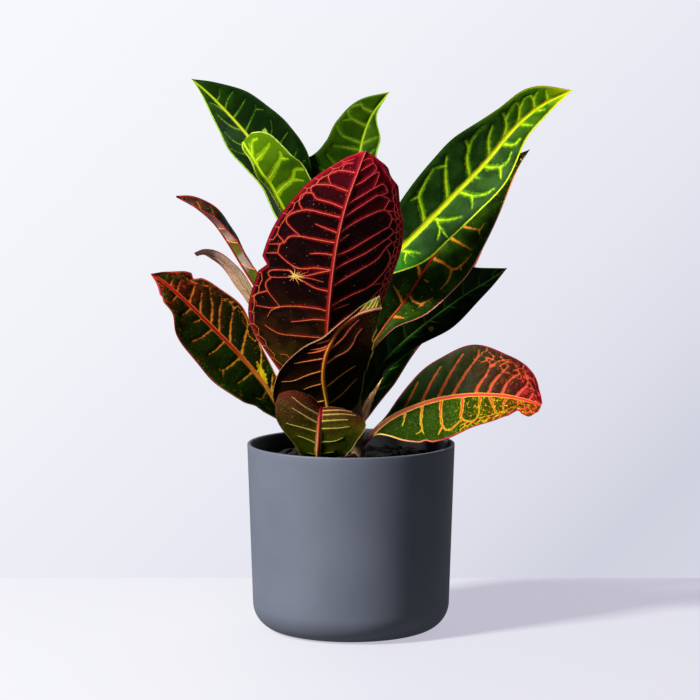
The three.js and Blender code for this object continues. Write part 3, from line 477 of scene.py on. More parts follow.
# Leaves, from the rows of their solids in the frame with margins fitted more closely. Lengths are
# in mm and angles in degrees, and the first of two values is for the left half. A row is a place
# along the blade, and a share is one of the half-width, below 0 on the left half.
# slot: its finish. front and back: looks of what the front shows and of the other side.
# face: side that the front shows. joint: height on the stem. stalk: centres x, y, z. side: heading
# of the right half. blade: midrib x, y, z, half-widths and turn. fold: angle at the midrib. curl:
# what the margin adds to it. In both, a list has one for each row. wave: height, count and start.
# hem: length and angle of a rolled left margin. nicks: half, row, depth, half-length in rows.
# veins: lines of (row, share). spread: first and last row, count and lean of evenly spread veins.
# net: side (-1 is left), first and last row, cell and depths. spots: row, share, radius.
# star: row, share, reach. rib_scale: times the midrib's radius.
LEAVES = {}
LEAVES["leaf_red_front"] = dict(
    slot="leaf_crimson", front=CRIMSON_UNDER, back=CRIMSON_UPPER, face="under", joint=134,
    stalk=[(-3, -4, 140), (-10, -8, 149)],
    blade=[
        (-14.5, -14, 158, 11, 9, -4), (-16.5, -24, 179, 34, 25, -4), (-15.5, -37, 209, 53, 34, -6),
        (-13, -47, 239, 49, 42, -8), (-9, -53, 267, 43, 46.5, -10), (-3, -57, 292, 31, 41.5, -10),
        (5, -55, 314, 14, 31, -8), (8.6, -51, 323, 4.5, 19.6, -6), (9.6, -50, 325.3, 0.5, 6.5, -5),
    ],
    fold=(8, 8), curl=(14, 14), wave=(1, 3, 0), nicks=[("left", 3.2, 4.6, 0.17)], spots=[(3.05, -0.5, 1.7)],
    star=(3.05, -0.5, 9),
    net=[(1, 2.2, 6.9, 3.1, (2.4, 4.8)), (-1, 3.75, 6.4, 4.2, (3.6,)), (-1, 0.9, 3.0, 4.2, (3.4,))],
    veins=[
        [(5.85, 0), (5.75, -0.55), (5.65, -0.7), (5.5, -0.75), (5.3, -0.5)],
        [(6.15, -0.4), (6, -0.65), (5.75, -0.55)],
        [(5.3, 0), (5.3, -0.3), (5.3, -0.5), (5.2, -0.8), (5.1, -0.85), (5, -0.75)],
        [(5.2, -0.8), (5.4, -0.85), (5.5, -0.75)],
        [(4.85, 0), (4.9, -0.3), (4.9, -0.6), (5, -0.75), (4.9, -0.9), (4.7, -0.85), (4.55, -0.7)],
        [(4.6, 0), (4.6, -0.35), (4.6, -0.55), (4.55, -0.7), (4.4, -0.85), (4.2, -0.85), (3.95, -0.55)],
        [(4.2, 0), (4.25, -0.2), (4.3, -0.4)],
        [(3.95, 0), (3.95, -0.3), (3.95, -0.55), (3.9, -0.7), (3.75, -0.75), (3.7, -0.8), (3.5, -0.8)],
        [(3.75, -0.75), (3.9, -0.9)], [(3.7, -0.8), (3.65, -0.95)], [(3.5, -0.8), (3.45, -0.95)],
        [(3.65, 0), (3.65, -0.2), (3.6, -0.35)],
        [(3.3, 0), (3.3, -0.25), (3.25, -0.4), (3.25, -0.55), (3.4, -0.7), (3.5, -0.8)],
        [(3.3, 0), (3.2, -0.2), (3.1, -0.35), (3.05, -0.5)],
        [(3.05, -0.5), (3.15, -0.6), (3.15, -0.7), (3.1, -0.85), (3, -0.85), (2.95, -0.8), (3, -0.6),
         (3.05, -0.5)],
        [(2.8, 0), (2.85, -0.2), (2.95, -0.35), (3.05, -0.5)], [(3.05, -0.5), (3.05, -0.3), (3, -0.1)],
        [(2.95, -0.8), (2.8, -0.85), (2.65, -0.8), (2.5, -0.7), (2.35, -0.6)],
        [(2.35, 0), (2.4, -0.15), (2.4, -0.4), (2.35, -0.6), (2.3, -0.7), (2.3, -0.9)],
        [(2.35, -0.6), (2.25, -0.7), (2.1, -0.75)], [(2.65, -0.8), (2.5, -0.95), (2.35, -0.9)],
        [(2.45, 0), (2.7, 0.35), (2.9, 0.65), (3.2, 0.8), (3.4, 0.85)], [(2.4, 0.1), (2.5, 0.35)],
        [(2.9, 0), (3.1, 0.2), (3.35, 0.45), (3.6, 0.65), (3.95, 0.75)],
        [(3.3, 0), (3.45, 0.15), (3.75, 0.45), (4.05, 0.65), (4.2, 0.75)],
        [(3.65, 0), (3.8, 0.2), (4.2, 0.5), (4.55, 0.75)], [(3.95, 0), (4.2, 0.15)],
        [(4.2, 0), (4.45, 0.15), (4.8, 0.4), (5.1, 0.65), (5.05, 0.75), (4.85, 0.8), (4.55, 0.75)],
        [(4.6, 0), (4.85, 0.15), (5.3, 0.4), (5.5, 0.55), (5.5, 0.75), (5.45, 0.75), (5.1, 0.65)],
        [(4.95, 0), (5.2, 0.15), (5.6, 0.4), (5.85, 0.6), (5.75, 0.7), (5.65, 0.7), (5.5, 0.55)],
        [(5.45, 0), (5.65, 0.15), (5.95, 0.3), (6.3, 0.5), (5.85, 0.45), (5.6, 0.4)],
        [(5.85, 0), (6.2, 0.15), (6.7, 0.35), (6.5, 0.45), (5.95, 0.3)],
        [(6.2, 0), (6.7, 0.1), (7, 0.3), (6.7, 0.35)],
        [(2.15, 0), (2.15, -0.15), (2.1, -0.3), (2.05, -0.45)],
        [(1.75, 0), (1.75, -0.35), (1.75, -0.6), (1.8, -0.7), (1.9, -0.8)],
        [(1.1, 0), (1.2, -0.55), (1.3, -0.65), (1.3, -0.75)], [(1.9, 0), (2.2, 0.35), (2.5, 0.7)],
        [(1.4, 0), (1.7, 0.4), (2.0, 0.75)], [(0.9, 0), (1.2, 0.4), (1.5, 0.75)],
        [(0.6, 0), (0.8, -0.5), (0.9, -0.75)], [(3.4, 0.85), (3.65, 0.86), (3.95, 0.75)],
        [(3.95, 0.75), (4.1, 0.82), (4.2, 0.75)], [(4.2, 0.75), (4.4, 0.83), (4.55, 0.75)],
        [(3.4, 0.85), (3.35, 0.94)], [(3.65, 0.86), (3.7, 0.94)], [(4.1, 0.82), (4.1, 0.92)],
        [(4.4, 0.83), (4.4, 0.92)], [(4.85, 0.8), (4.85, 0.91)], [(5.1, 0.72), (5.2, 0.9)],
        [(5.45, 0.75), (5.5, 0.89)], [(2.95, 0.7), (2.95, 0.92)], [(2.5, 0.7), (2.8, 0.85), (2.95, 0.92)],
    ],
)
LEAVES["leaf_upper_left"] = dict(
    slot="leaf_green", front=GREEN_UPPER, back=GREEN_UNDER, face="upper", joint=240,
    stalk=[(-20, 5, 247), (-28, 7, 257)],
    blade=[
        (-34, 11, 266, 7, 8, 20), (-40, 19, 283, 13, 23, 20), (-49, 28, 303, 13, 35, 20),
        (-60, 35, 319, 15, 35, 20), (-72, 41, 334, 16, 30, 20), (-84, 46, 347, 12, 24, 20),
        (-97, 50, 360, 6, 12, 20), (-109, 53, 370, 0, 0, 20),
    ],
    fold=(14, 14), curl=(12, 12), wave=(1.5, 2, 0), spots=[(3.45, 0.42, 2.2)],
    veins=[
        [(5.6, 0), (5.6, 0.25), (5.75, 0.65)], [(5.15, 0), (5.3, 0.4), (5.3, 0.8)],
        [(4.7, 0), (4.7, 0.4), (4.75, 0.75)], [(4, 0), (4.1, 0.35), (4.2, 0.7), (4.3, 0.8)],
        [(4.2, 0.7), (3.95, 0.85)], [(3.05, 0), (3.25, 0.5), (3.4, 0.65), (3.55, 0.75)],
        [(2.6, 0), (2.75, 0.4), (2.8, 0.85)], [(1.9, 0), (2.1, 0.5), (2.2, 0.8)],
        [(1.2, 0), (1.4, 0.5), (1.6, 0.8)], [(4.1, 0), (4.4, -0.25), (4.85, -0.45), (5.3, -0.6)],
        [(3.3, 0), (3.8, -0.5), (4.15, -0.65), (4.55, -0.75)],
        [(2.7, 0), (3.4, -0.6), (3.65, -0.8), (3.9, -0.9)], [(5.05, 0), (5.55, -0.3), (5.75, -0.6)],
        [(1.9, 0), (2.3, -0.4), (2.7, -0.8)],
    ],
)
LEAVES["leaf_young_lime"] = dict(
    slot="leaf_lime", front=LIME_UPPER, back=LIME_UNDER, face="upper", joint=246,
    stalk=[(-17, 1, 252), (-24, 0, 257)],
    blade=[
        (-29, 0, 264, 4, 6, 15), (-36, -2, 274, 3, 22, 20), (-44, -5, 284, 2.6, 33, 25),
        (-53, -8, 301, 3.4, 36, 30), (-59, -10, 309, 4, 33.5, 30), (-65, -9, 319, 3, 25, 25),
        (-70, -4, 326, 3, 13, 15), (-72, 2, 329, 1, 4, 5),
    ],
    fold=(30, 10), curl=(30, 10), wave=(0.6, 2, 0),
    veins=[
        [(2.6, 0), (2.8, 0.25), (2.95, 0.55), (3.3, 0.75), (3.2, 0.95)], [(2.95, 0.55), (2.8, 0.8)],
        [(3.35, 0), (3.9, 0.4), (4.3, 0.75), (4.45, 0.8)], [(4.2, 0.7), (4, 0.85)],
        [(4.75, 0), (4.85, 0.35), (4.95, 0.75)], [(5.1, 0), (5.5, 0.2), (5.75, 0.45), (5.55, 0.65)],
        [(5.5, 0.2), (5.9, 0.25)], [(1.7, 0), (1.9, 0.4), (2.1, 0.75)], [(0.9, 0), (1.1, 0.5), (1.3, 0.8)],
    ],
)
LEAVES["leaf_top"] = dict(
    slot="leaf_green", front=TOP_UPPER, back=GREEN_UNDER, face="upper", joint=252, stalk=[(-12, 7, 256)],
    blade=[
        (-12, 7, 263, 9, 6, -4), (-7, 9, 276, 30, 11, -4), (-1, 12, 293, 41, 14, -4),
        (3.5, 17, 308, 35, 14, -4), (6, 21, 321.5, 25, 12, -4), (9, 26, 334, 21, 12, -4),
        (15, 31, 347.5, 14, 3, -4), (26, 36, 361.5, 0, 0, -4),
    ],
    fold=(5, 14), curl=(7, 14), wave=(1.5, 2, 0),
    veins=[
        [(5.35, 0), (5.35, -0.35), (5.4, -0.65), (5.5, -0.85), (5.7, -0.95)],
        [(5.35, -0.65), (5.15, -0.85)], [(6, 0), (5.95, -0.5), (6, -0.75), (5.75, -0.95)],
        [(4.45, 0), (4.5, -0.3), (4.55, -0.6), (4.7, -0.8), (4.85, -0.9)],
        [(4.1, 0), (4.05, -0.3), (3.95, -0.75)], [(3, 0), (3.15, -0.45), (3.35, -0.6), (3.55, -0.75)],
        [(2.3, 0), (2.5, -0.4), (2.7, -0.8)], [(1.6, 0), (1.8, -0.4), (2, -0.8)], [(1, 0), (1.2, -0.7)],
        [(2.6, 0), (2.9, 0.4), (3.3, 0.8)], [(3.5, 0), (3.8, 0.4), (4.2, 0.8)],
        [(4.4, 0), (4.7, 0.4), (5, 0.8)], [(1.7, 0), (2, 0.4), (2.3, 0.8)],
    ],
)
LEAVES["leaf_upper_right"] = dict(
    slot="leaf_green", front=BRIGHT_UPPER, back=GREEN_UNDER, face="upper", joint=226, stalk=[(1, 1, 234)],
    blade=[
        (10, 0, 240, 9, 4, 10), (23, 0, 249, 15, 11, 10), (37.5, 0, 262, 19, 19, 8),
        (53.5, 0, 278, 25, 20, 6), (71, 1, 296, 28, 21, 5), (89, 3, 314.5, 28, 20.5, 5),
        (109, 6, 338, 18, 12, 5), (127, 9, 353, 15, 8, 5), (148.5, 12, 363.5, 0, 0, 5),
    ],
    fold=(16, 12), curl=(12, 14), wave=(1, 3, 0),
    veins=[
        [(2.75, 0), (3, -0.35), (3.2, -0.65), (3.5, -0.75), (4, -0.85)], [(3.2, -0.65), (2.95, -0.8)],
        [(3.65, 0), (3.95, -0.35), (4.25, -0.65), (4.45, -0.8)], [(4.25, -0.65), (4, -0.85)],
        [(4.5, 0), (4.75, -0.35), (5, -0.55), (5.1, -0.75)], [(5, -0.55), (5.3, -0.7), (5.6, -0.8)],
        [(5.2, 0), (5.45, -0.35), (5.7, -0.6)], [(5.65, 0), (5.9, -0.25), (6, -0.5), (6.05, -0.75)],
        [(6, -0.5), (6.4, -0.75), (6.5, -0.65)], [(6.15, 0), (6.4, -0.35), (6.5, -0.65)],
        [(6.4, -0.35), (6.7, -0.65), (6.9, -0.65)], [(6.8, 0), (6.9, -0.4), (6.9, -0.65)],
        [(6.9, -0.4), (7.1, -0.7)], [(7.25, 0), (7.3, -0.65)],
        [(3.05, 0), (3.1, 0.15), (3.25, 0.4), (3.6, 0.7)], [(3.1, 0.15), (2.95, 0.5), (2.7, 0.7)],
        [(3, 0.45), (2.95, 0.9)], [(4, 0), (4.2, 0.45), (4.45, 0.7), (4.7, 0.8)],
        [(4.2, 0.45), (3.95, 0.75)], [(4.6, 0), (4.65, 0.2)], [(4.95, 0), (5, 0.2), (5.15, 0.5), (5, 0.75)],
        [(5.15, 0.5), (5.35, 0.65), (5.55, 0.6)], [(5.55, 0), (5.7, 0.5), (5.9, 0.65)],
        [(6.15, 0), (6.4, 0.7)], [(6.75, 0), (7, 0.45)], [(1.6, 0), (1.8, 0.25), (2.05, 0.6)],
        [(1.8, 0.25), (1.6, 0.45), (1.5, 0.7)], [(1.8, 0.25), (1.85, 0.6)],
        [(1.7, 0), (2, -0.4), (2.3, -0.8)], [(0.9, 0), (1.2, -0.4), (1.5, -0.8)], [(0.8, 0), (1, 0.7)],
    ],
)
LEAVES["leaf_dark_right"] = dict(
    slot="leaf_dark", front=DARK_UPPER, back=DARK_UNDER, face="upper", joint=172, stalk=[(6, 6, 181)],
    blade=[
        (14, 9, 192, 6, 3, 0), (25, 12, 207.5, 14, 7, 0), (39, 15, 225, 22, 19, 0),
        (55, 19, 250, 24, 26.5, 0), (72.5, 23, 272, 18.5, 23, 0), (94, 27, 297, 10, 14, 0),
        (111, 30, 313.5, 5, 4, 0), (121, 32, 322.5, 0, 0, 0),
    ],
    fold=(16, 10), curl=(12, 12), wave=(1, 3, 0),
    veins=[
        [(2, 0), (1.95, 0.3), (2, 0.6)], [(2, 0.6), (1.85, 0.55)], [(2, 0.55), (2.15, 0.65), (2.25, 0.7)],
        [(3, 0), (3.05, 0.35), (3.05, 0.6), (3.2, 0.7), (3.65, 0.8)], [(3, 0.6), (2.75, 0.7), (2.5, 0.7)],
        [(3.25, 0.7), (3.15, 0.8)], [(3.65, 0), (3.7, 0.4), (3.75, 0.75)],
        [(4, 0), (4.05, 0.15), (4.2, 0.6), (4.35, 0.65)], [(4.2, 0.6), (4.1, 0.75)],
        [(1.7, 0), (1.8, -0.15), (1.95, -0.6)], [(2.5, 0.25), (2.5, 0.1)],
        [(2.5, 0), (2.8, -0.4), (3, -0.8)], [(3.3, 0), (3.6, -0.4), (3.8, -0.8)],
        [(4.1, 0), (4.4, -0.4), (4.6, -0.8)], [(4.8, 0), (5, 0.5)], [(4.7, 0), (5, -0.6)],
        [(1.2, 0), (1.4, 0.6)],
    ],
)
LEAVES["leaf_right"] = dict(
    slot="leaf_dark", front=DEEP_UPPER, back=GREEN_UNDER, face="upper", joint=146, stalk=[(7.5, 8, 153)],
    blade=[
        (13, 13, 164, 9, 4, 5), (23, 19, 180, 16, 7, 5), (39, 25, 195, 22, 9, 5),
        (59.5, 32, 210.5, 23.5, 14, 5), (79, 39, 223.5, 20, 10, 5), (94, 44, 232, 11, 5, 5),
        (107, 48, 240.5, 0, 0, 5),
    ],
    fold=(14, 14), curl=(12, 14), wave=(1, 3, 0), spread=(0.6, 5.2, 8, 0.45), spots=[(2.6, 0.45, 1.8)],
)
LEAVES["leaf_lower_back_right"] = dict(
    slot="leaf_dark", front=PINK_RIB_UPPER, back=DARK_UNDER, face="upper", joint=131, stalk=[(7, 8, 138)],
    blade=[
        (10, 12, 147, 6, 5, 0), (18, 24, 166, 13, 12, 0), (29.5, 36, 186.5, 14, 14, 0),
        (44.5, 46, 207, 17, 15, 0), (61.5, 54, 227, 16, 12.5, 0), (79, 60, 246, 11, 9, 0),
        (94.5, 64, 261.5, 0, 0, 0),
    ],
    fold=(14, 14), curl=(12, 14), wave=(1, 3, 0), rib_scale=1.7, spread=(0.5, 5.2, 8, 0.4),
)
LEAVES["leaf_left_folded"] = dict(
    slot="leaf_olive", front=FOLDED_UPPER, back=FOLDED_UNDER, face="upper", joint=180,
    stalk=[(-12, 5, 182), (-24, 5, 186)],
    blade=[
        (-34, 6, 192, 7, 6, -94), (-45, 8, 205, 12, 9, -94), (-57, 11, 221, 15, 12, -94),
        (-66, 13, 234, 16, 13.5, -93), (-75, 15, 248, 16, 14, -91), (-84, 16, 262.5, 15, 15, -87),
        (-93, 17, 274.5, 12, 14, -82), (-105, 18, 284.5, 5, 10, -82), (-118, 18, 291.5, 0, 0, -82),
    ],
    fold=(20, [16, 16, 16, 16, 16, 16, 22, 30, 30]), curl=(12, 10), wave=(0.6, 3, 0),
    veins=[
        [(1.9, 0), (1.6, -0.5), (1.4, -0.95)], [(2.9, 0), (2.6, -0.5), (2.35, -0.95)],
        [(3.9, 0), (3.6, -0.5), (3.35, -0.95)], [(3.6, -0.5), (3.9, -0.75), (4.1, -0.9)],
        [(5, 0), (4.8, -0.5), (4.65, -0.95)], [(5.6, 0), (5.5, -0.5), (5.4, -0.9)],
        [(6.3, 0), (6.6, -0.5), (6.7, -0.9)], [(6.9, 0), (7.2, -0.5)], [(5.85, 0), (6.2, 0.4), (6.6, 0.8)],
        [(4.9, 0), (5.2, 0.5), (5.4, 0.8)], [(3.8, 0), (4.2, 0.5), (4.4, 0.8)],
        [(2.6, 0), (3, 0.5), (3.3, 0.8)], [(1.5, 0), (2, 0.8)], [(6.7, 0), (7.1, 0.5)],
    ],
)
LEAVES["leaf_left_pale"] = dict(
    slot="leaf_pale", front=PALE_UNDER, back=FOLDED_UPPER, face="under", joint=158,
    stalk=[(-16, 8, 160), (-28, 10, 167)],
    blade=[
        (-37, 12, 180, 6, 6, 68), (-51.5, 18, 200, 11, 11, 68), (-63, 23, 216, 13, 13, 68),
        (-72, 26, 229, 13, 13, 68), (-80.5, 29, 240, 12, 13, 68), (-90, 31, 248, 10, 11, 68),
        (-99, 33, 252, 7, 9, 68), (-106, 34, 251, 3.5, 4, 68),
    ],
    fold=(0, 0), curl=(-4, 6), wave=(0.6, 2, 0), spread=(0.4, 5.0, 9, 1.3),
)
LEAVES["leaf_lower_left"] = dict(
    slot="leaf_mixed", front=RED_RIB_UPPER, back=DARK_UNDER, face="upper", joint=124,
    stalk=[(-8, -4, 126), (-22, -7, 130)],
    blade=[
        (-37, -10, 140.5, 3.5, 3, -20), (-47.5, -14, 151, 8, 6, -22), (-59.5, -18, 170, 22, 11, -25),
        (-74, -21, 188, 29, 17, -25), (-88.5, -24, 203.5, 27.5, 24, -25), (-103, -27, 218.5, 24, 21.5, -25),
        (-111, -28.5, 226.5, 14.5, 19, -24), (-118.5, -30, 233.5, 11.5, 15.5, -22),
        (-125, -31, 239, 5, 7.5, -21), (-132, -32, 243.5, 0, 0, -20),
    ],
    fold=(10, 10), curl=(10, 12), wave=(1.5, 3, 0),
    nicks=[("right", 6.35, 3.2, 0.3), ("left", 7.2, 1.2, 0.25), ("left", 1.6, 1.6, 0.3)],
    net=[(1, 3.0, 7.6, 4.6, (3.2,))],
    spots=[
        (1.92, 0.16, 1.2), (2.02, 0.21, 1.7), (2.12, 0.26, 2.1), (2.22, 0.3, 2.0), (2.32, 0.34, 1.7),
        (2.42, 0.38, 1.3), (2.52, 0.42, 0.9),
    ],
    veins=[
        [(5.5, 0), (5.9, 0.45), (6.1, 0.75), (6.45, 0.85)], [(4.75, 0), (5.2, 0.4), (5.45, 0.6)],
        [(4.3, 0), (4.7, 0.45), (5.05, 0.7), (5.3, 0.85)],
        [(3.95, 0), (4.4, 0.45), (4.6, 0.75), (4.75, 0.85)], [(4.6, 0.75), (4.5, 0.9)],
        [(3.45, 0), (3.95, 0.5), (4.15, 0.75), (4.15, 0.92)], [(4.15, 0.75), (4.45, 0.9)],
        [(2.95, 0), (3.3, 0.6), (3.55, 0.9), (4.15, 0.92)],
        [(2.3, 0), (2.35, 0.4), (2.65, 0.85), (2.9, 0.95)], [(1.5, 0), (1.8, 0.5), (2, 0.85)],
        [(4.65, 0), (4.7, -0.15), (4.8, -0.3)], [(4.2, 0), (4.3, -0.4), (4.45, -0.7)],
        [(3.65, 0), (3.7, -0.35), (3.8, -0.6)], [(2.95, 0), (3, -0.3), (3.1, -0.6), (3.25, -0.65)],
        [(3.1, -0.6), (2.95, -0.75)], [(2.4, 0), (2.45, -0.4), (2.5, -0.6)],
        [(1.7, 0), (1.65, -0.5), (1.8, -0.6)], [(5.2, 0), (5.4, -0.5)], [(6.4, 0), (6.5, -0.5)],
        [(6.6, 0), (6.9, 0.5)], [(7.2, 0), (7.4, 0.4)],
    ],
)
LEAVES["leaf_front_curled"] = dict(
    slot="leaf_maroon", front=CURLED_UNDER, back=CURLED_UPPER, face="under", joint=126,
    stalk=[(-2, -7, 131), (-8, -11, 137)],
    blade=[
        (-13.5, -16, 144, 23, 17.5, 0), (-16.5, -24, 160, 35, 26, 0), (-18.5, -34, 175, 31, 30, 0),
        (-17, -44, 189, 20, 30, 0), (-13, -51, 200, 9.5, 29, 0), (-6.5, -56, 211, 4.4, 27.5, 0),
        (4, -59, 219, 4, 22.5, 0), (14, -59, 222.4, 6.4, 14, 0), (20, -57, 223.2, 8.6, 1, 0),
    ],
    hem=[
        (2, -20), (2, -40), (3, -110), (3.5, -150), (3.8, -170), (3.8, -170), (3.2, -150), (1, -60),
        (1, -60),
    ],
    fold=(5, 5), curl=(5, 20), wave=(0.5, 2, 0),
    veins=[
        [(1.7, 0), (1.6, -0.25), (1.5, -0.4)], [(2.35, 0), (2.1, -0.3), (1.85, -0.6), (1.8, -0.85)],
        [(3, 0), (2.7, -0.4), (2.45, -0.75)], [(3.65, 0), (3.2, -0.35), (3, -0.6)],
        [(3.95, 0), (3.45, -0.3), (3.2, -0.6)], [(4.3, 0), (3.95, -0.35), (3.6, -0.6)],
        [(1.45, 0), (1.85, 0.3), (2.7, 0.7)], [(2.6, 0), (3.15, 0.2), (4.2, 0.45), (5.85, 0.4)],
        [(3.45, 0), (4.6, 0.2), (5.95, 0.15)], [(4.45, 0), (5.35, 0.05), (6, 0.05)],
        [(0.7, 0), (1, 0.4), (1.5, 0.8)], [(0.9, 0), (0.8, -0.5), (0.8, -0.8)],
        [(6.5, -0.1), (7.0, -0.6), (7.3, -0.95)], [(6.1, -0.1), (6.5, -0.6), (6.8, -0.95)],
        [(6.9, -0.1), (7.4, -0.6), (7.6, -0.9)], [(7.3, -0.1), (7.7, -0.6)],
    ],
)
LEAVES["leaf_front_low"] = dict(
    slot="leaf_olive", front=OLIVE_UNDER, back=OLIVE_UPPER, face="under", joint=119, side=(1, 0, 0),
    stalk=[(-3, -12, 118.5), (-14, -24, 118)],
    blade=[
        (-21, -34, 119.5, 7, 13, 0), (-22, -41, 125, 12, 20, 0), (-21.5, -45, 134, 18.5, 25, 0),
        (-21, -47, 143, 26, 30, 0), (-20.5, -46, 150, 31, 31, 0), (-20, -41, 155, 32, 28, 0),
        (-19.5, -35, 153.5, 24, 20, 0), (-19, -32, 147, 11, 11, 0), (-18.5, -30, 136, 0, 0, 0),
    ],
    fold=([0, 0, 0, -10, -30, -54, -54, -36, -10], [0, 0, 0, 0, -2, -6, -4, 4, 0]),
    curl=([0, 0, 0, 16, 44, 84, 84, 50, 0], [6, 6, 6, 8, 30, 44, 30, 6, 6]), wave=(0, 2, 0),
    veins=[
        [(1.75, 0), (2.15, -0.4), (2.35, -0.65)], [(2.65, 0), (2.95, -0.35), (3.2, -0.7), (3.3, -0.8)],
        [(3.4, 0), (3.75, -0.25), (4, -0.45), (4.2, -0.65)], [(4.2, 0), (4.4, -0.4), (4.7, -0.7)],
        [(1.95, 0), (2.05, 0.4), (2.35, 0.6)], [(2.95, 0), (3.1, 0.4), (3.3, 0.65)],
        [(3.6, 0), (3.8, 0.3), (4, 0.6)], [(4.2, 0), (4.4, 0.4), (4.6, 0.8)],
        [(4.6, 0), (4.8, 0.4), (5, 0.75)], [(5.4, 0), (5.6, 0.5), (5.7, 0.8)], [(6.2, 0), (6.4, 0.6)],
        [(5.4, 0), (5.6, -0.5), (5.7, -0.8)], [(6.2, 0), (6.4, -0.6)], [(1, 0), (1.2, 0.5)],
        [(0.9, 0), (1.1, -0.5)],
    ],
)
LEAVES["leaf_lower_right"] = dict(
    slot="leaf_mixed", front=MOTTLED_UPPER, back=DARK_UNDER, face="upper", joint=122,
    stalk=[(11, -1, 128.5)],
    blade=[
        (16.5, -2, 135, 2, 4, 25), (28, -6, 144.5, 5, 18.5, 25), (44.5, -12, 153, 15.5, 29, 25),
        (62.5, -18, 159, 26.5, 32, 25), (82.5, -24, 162, 34, 26.5, 25), (100.5, -29, 162, 27.5, 20, 25),
        (114, -33, 160, 20.5, 11.5, 25), (121.5, -35, 158, 10, 11.5, 25), (126, -36, 156.5, 2, 6, 25),
    ],
    fold=(12, 12), curl=(8, 12), wave=(1.2, 3, 0),
    nicks=[("right", 5.9, 3.2, 0.35), ("right", 2.15, 1.6, 0.25)],
    net=[(-1, 4.0, 7.2, 3.8, (3.2, 6.6, 9.8)), (1, 3.6, 7.4, 3.2, (2.6, 5.4))],
    veins=[
        [(1.45, 0), (1.7, -0.35), (2, -0.6), (2.3, -0.8)],
        [(2.15, 0), (2.3, -0.2), (2.65, -0.5), (3.05, -0.8)],
        [(2.75, 0), (2.9, -0.15), (3.25, -0.5), (3.55, -0.75), (3.7, -0.85)],
        [(3.25, 0), (3.4, -0.15), (3.8, -0.5), (4.1, -0.75), (4.15, -0.9)],
        [(4, 0), (4.15, -0.2), (4.4, -0.45), (4.5, -0.75)], [(4.5, -0.6), (4.8, -0.8), (5.1, -0.9)],
        [(4.45, 0), (4.6, -0.25), (4.9, -0.55), (5.1, -0.75)],
        [(4.95, 0), (5.1, -0.3), (5.3, -0.5), (5.55, -0.7)],
        [(5.6, 0), (5.7, -0.15), (6.05, -0.55), (5.8, -0.8)], [(6.4, 0), (6.6, -0.4)],
        [(1.45, 0), (1.5, 0.1), (1.3, 0.45)], [(2.2, 0), (2.05, 0.45), (2.05, 0.65), (1.8, 0.75)],
        [(2.05, 0.65), (2.1, 0.85)], [(2.9, 0), (2.85, 0.3), (2.9, 0.65), (3.2, 0.8), (3.6, 0.65)],
        [(2.9, 0.65), (2.7, 0.85)], [(3.6, 0), (3.6, 0.35), (3.6, 0.6), (4.05, 0.8), (4.25, 0.6)],
        [(4.2, 0), (4.2, 0.35), (4.25, 0.6)], [(4.5, 0), (4.7, 0.35), (4.9, 0.7)],
        [(5.25, 0), (5.15, 0.3), (5.2, 0.6)], [(5.8, 0), (5.8, 0.5)],
    ],
)


def srgb(red, green, blue, tone=1.0):
    """Linear colour of an sRGB colour in which 255 is full brightness, dimmed by a tone."""
    values = [c / 255 for c in (red, green, blue)]
    linear = [v / 12.92 if v <= 0.04045 else ((v + 0.055) / 1.055) ** 2.4 for v in values]
    return (*[tone * v for v in linear], 1.0)


def smooth(rows, t):
    """Rows at each t from 0 to 1 of the smooth curve through the rows."""
    last = len(rows) - 1
    place = np.clip(t, 0, 1) * last
    index = np.minimum(np.floor(place).astype(int), last - 1)
    f = (place - index)[:, None]
    p1 = rows[index]
    p2 = rows[index + 1]
    p0 = np.where((index > 0)[:, None], rows[np.maximum(index - 1, 0)], 2 * p1 - p2)
    p3 = np.where((index + 2 <= last)[:, None], rows[np.minimum(index + 2, last)], 2 * p2 - p1)
    return 0.5 * (2 * p1 + (p2 - p0) * f + (2 * p0 - 5 * p1 + 4 * p2 - p3) * f ** 2
                  + (3 * p1 - p0 - 3 * p2 + p3) * f ** 3)


def unit(vectors):
    return vectors / np.linalg.norm(vectors, axis=-1, keepdims=True)


def per_row(setting, row):
    return setting[row] if isinstance(setting, list) else setting


def step_lengths(points):
    return np.linalg.norm(np.diff(points, axis=0), axis=1)


def running_total(lengths):
    return np.concatenate([[0], np.cumsum(lengths)])


def stem_at(height):
    """Centre and radius of the stem at a height."""
    line = np.array(STEM_LINE, float)
    place = np.interp(height, line[:, 2], np.arange(len(line)))
    return smooth(line, np.array([place / (len(line) - 1)]))[0]


# Columns of a leaf's rows, after the centre's x, y and z
(LEFT_WIDTH, RIGHT_WIDTH, TURN, LEFT_FOLD, RIGHT_FOLD, LEFT_CURL, RIGHT_CURL, HEM_LENGTH,
 HEM_ANGLE) = range(3, 12)


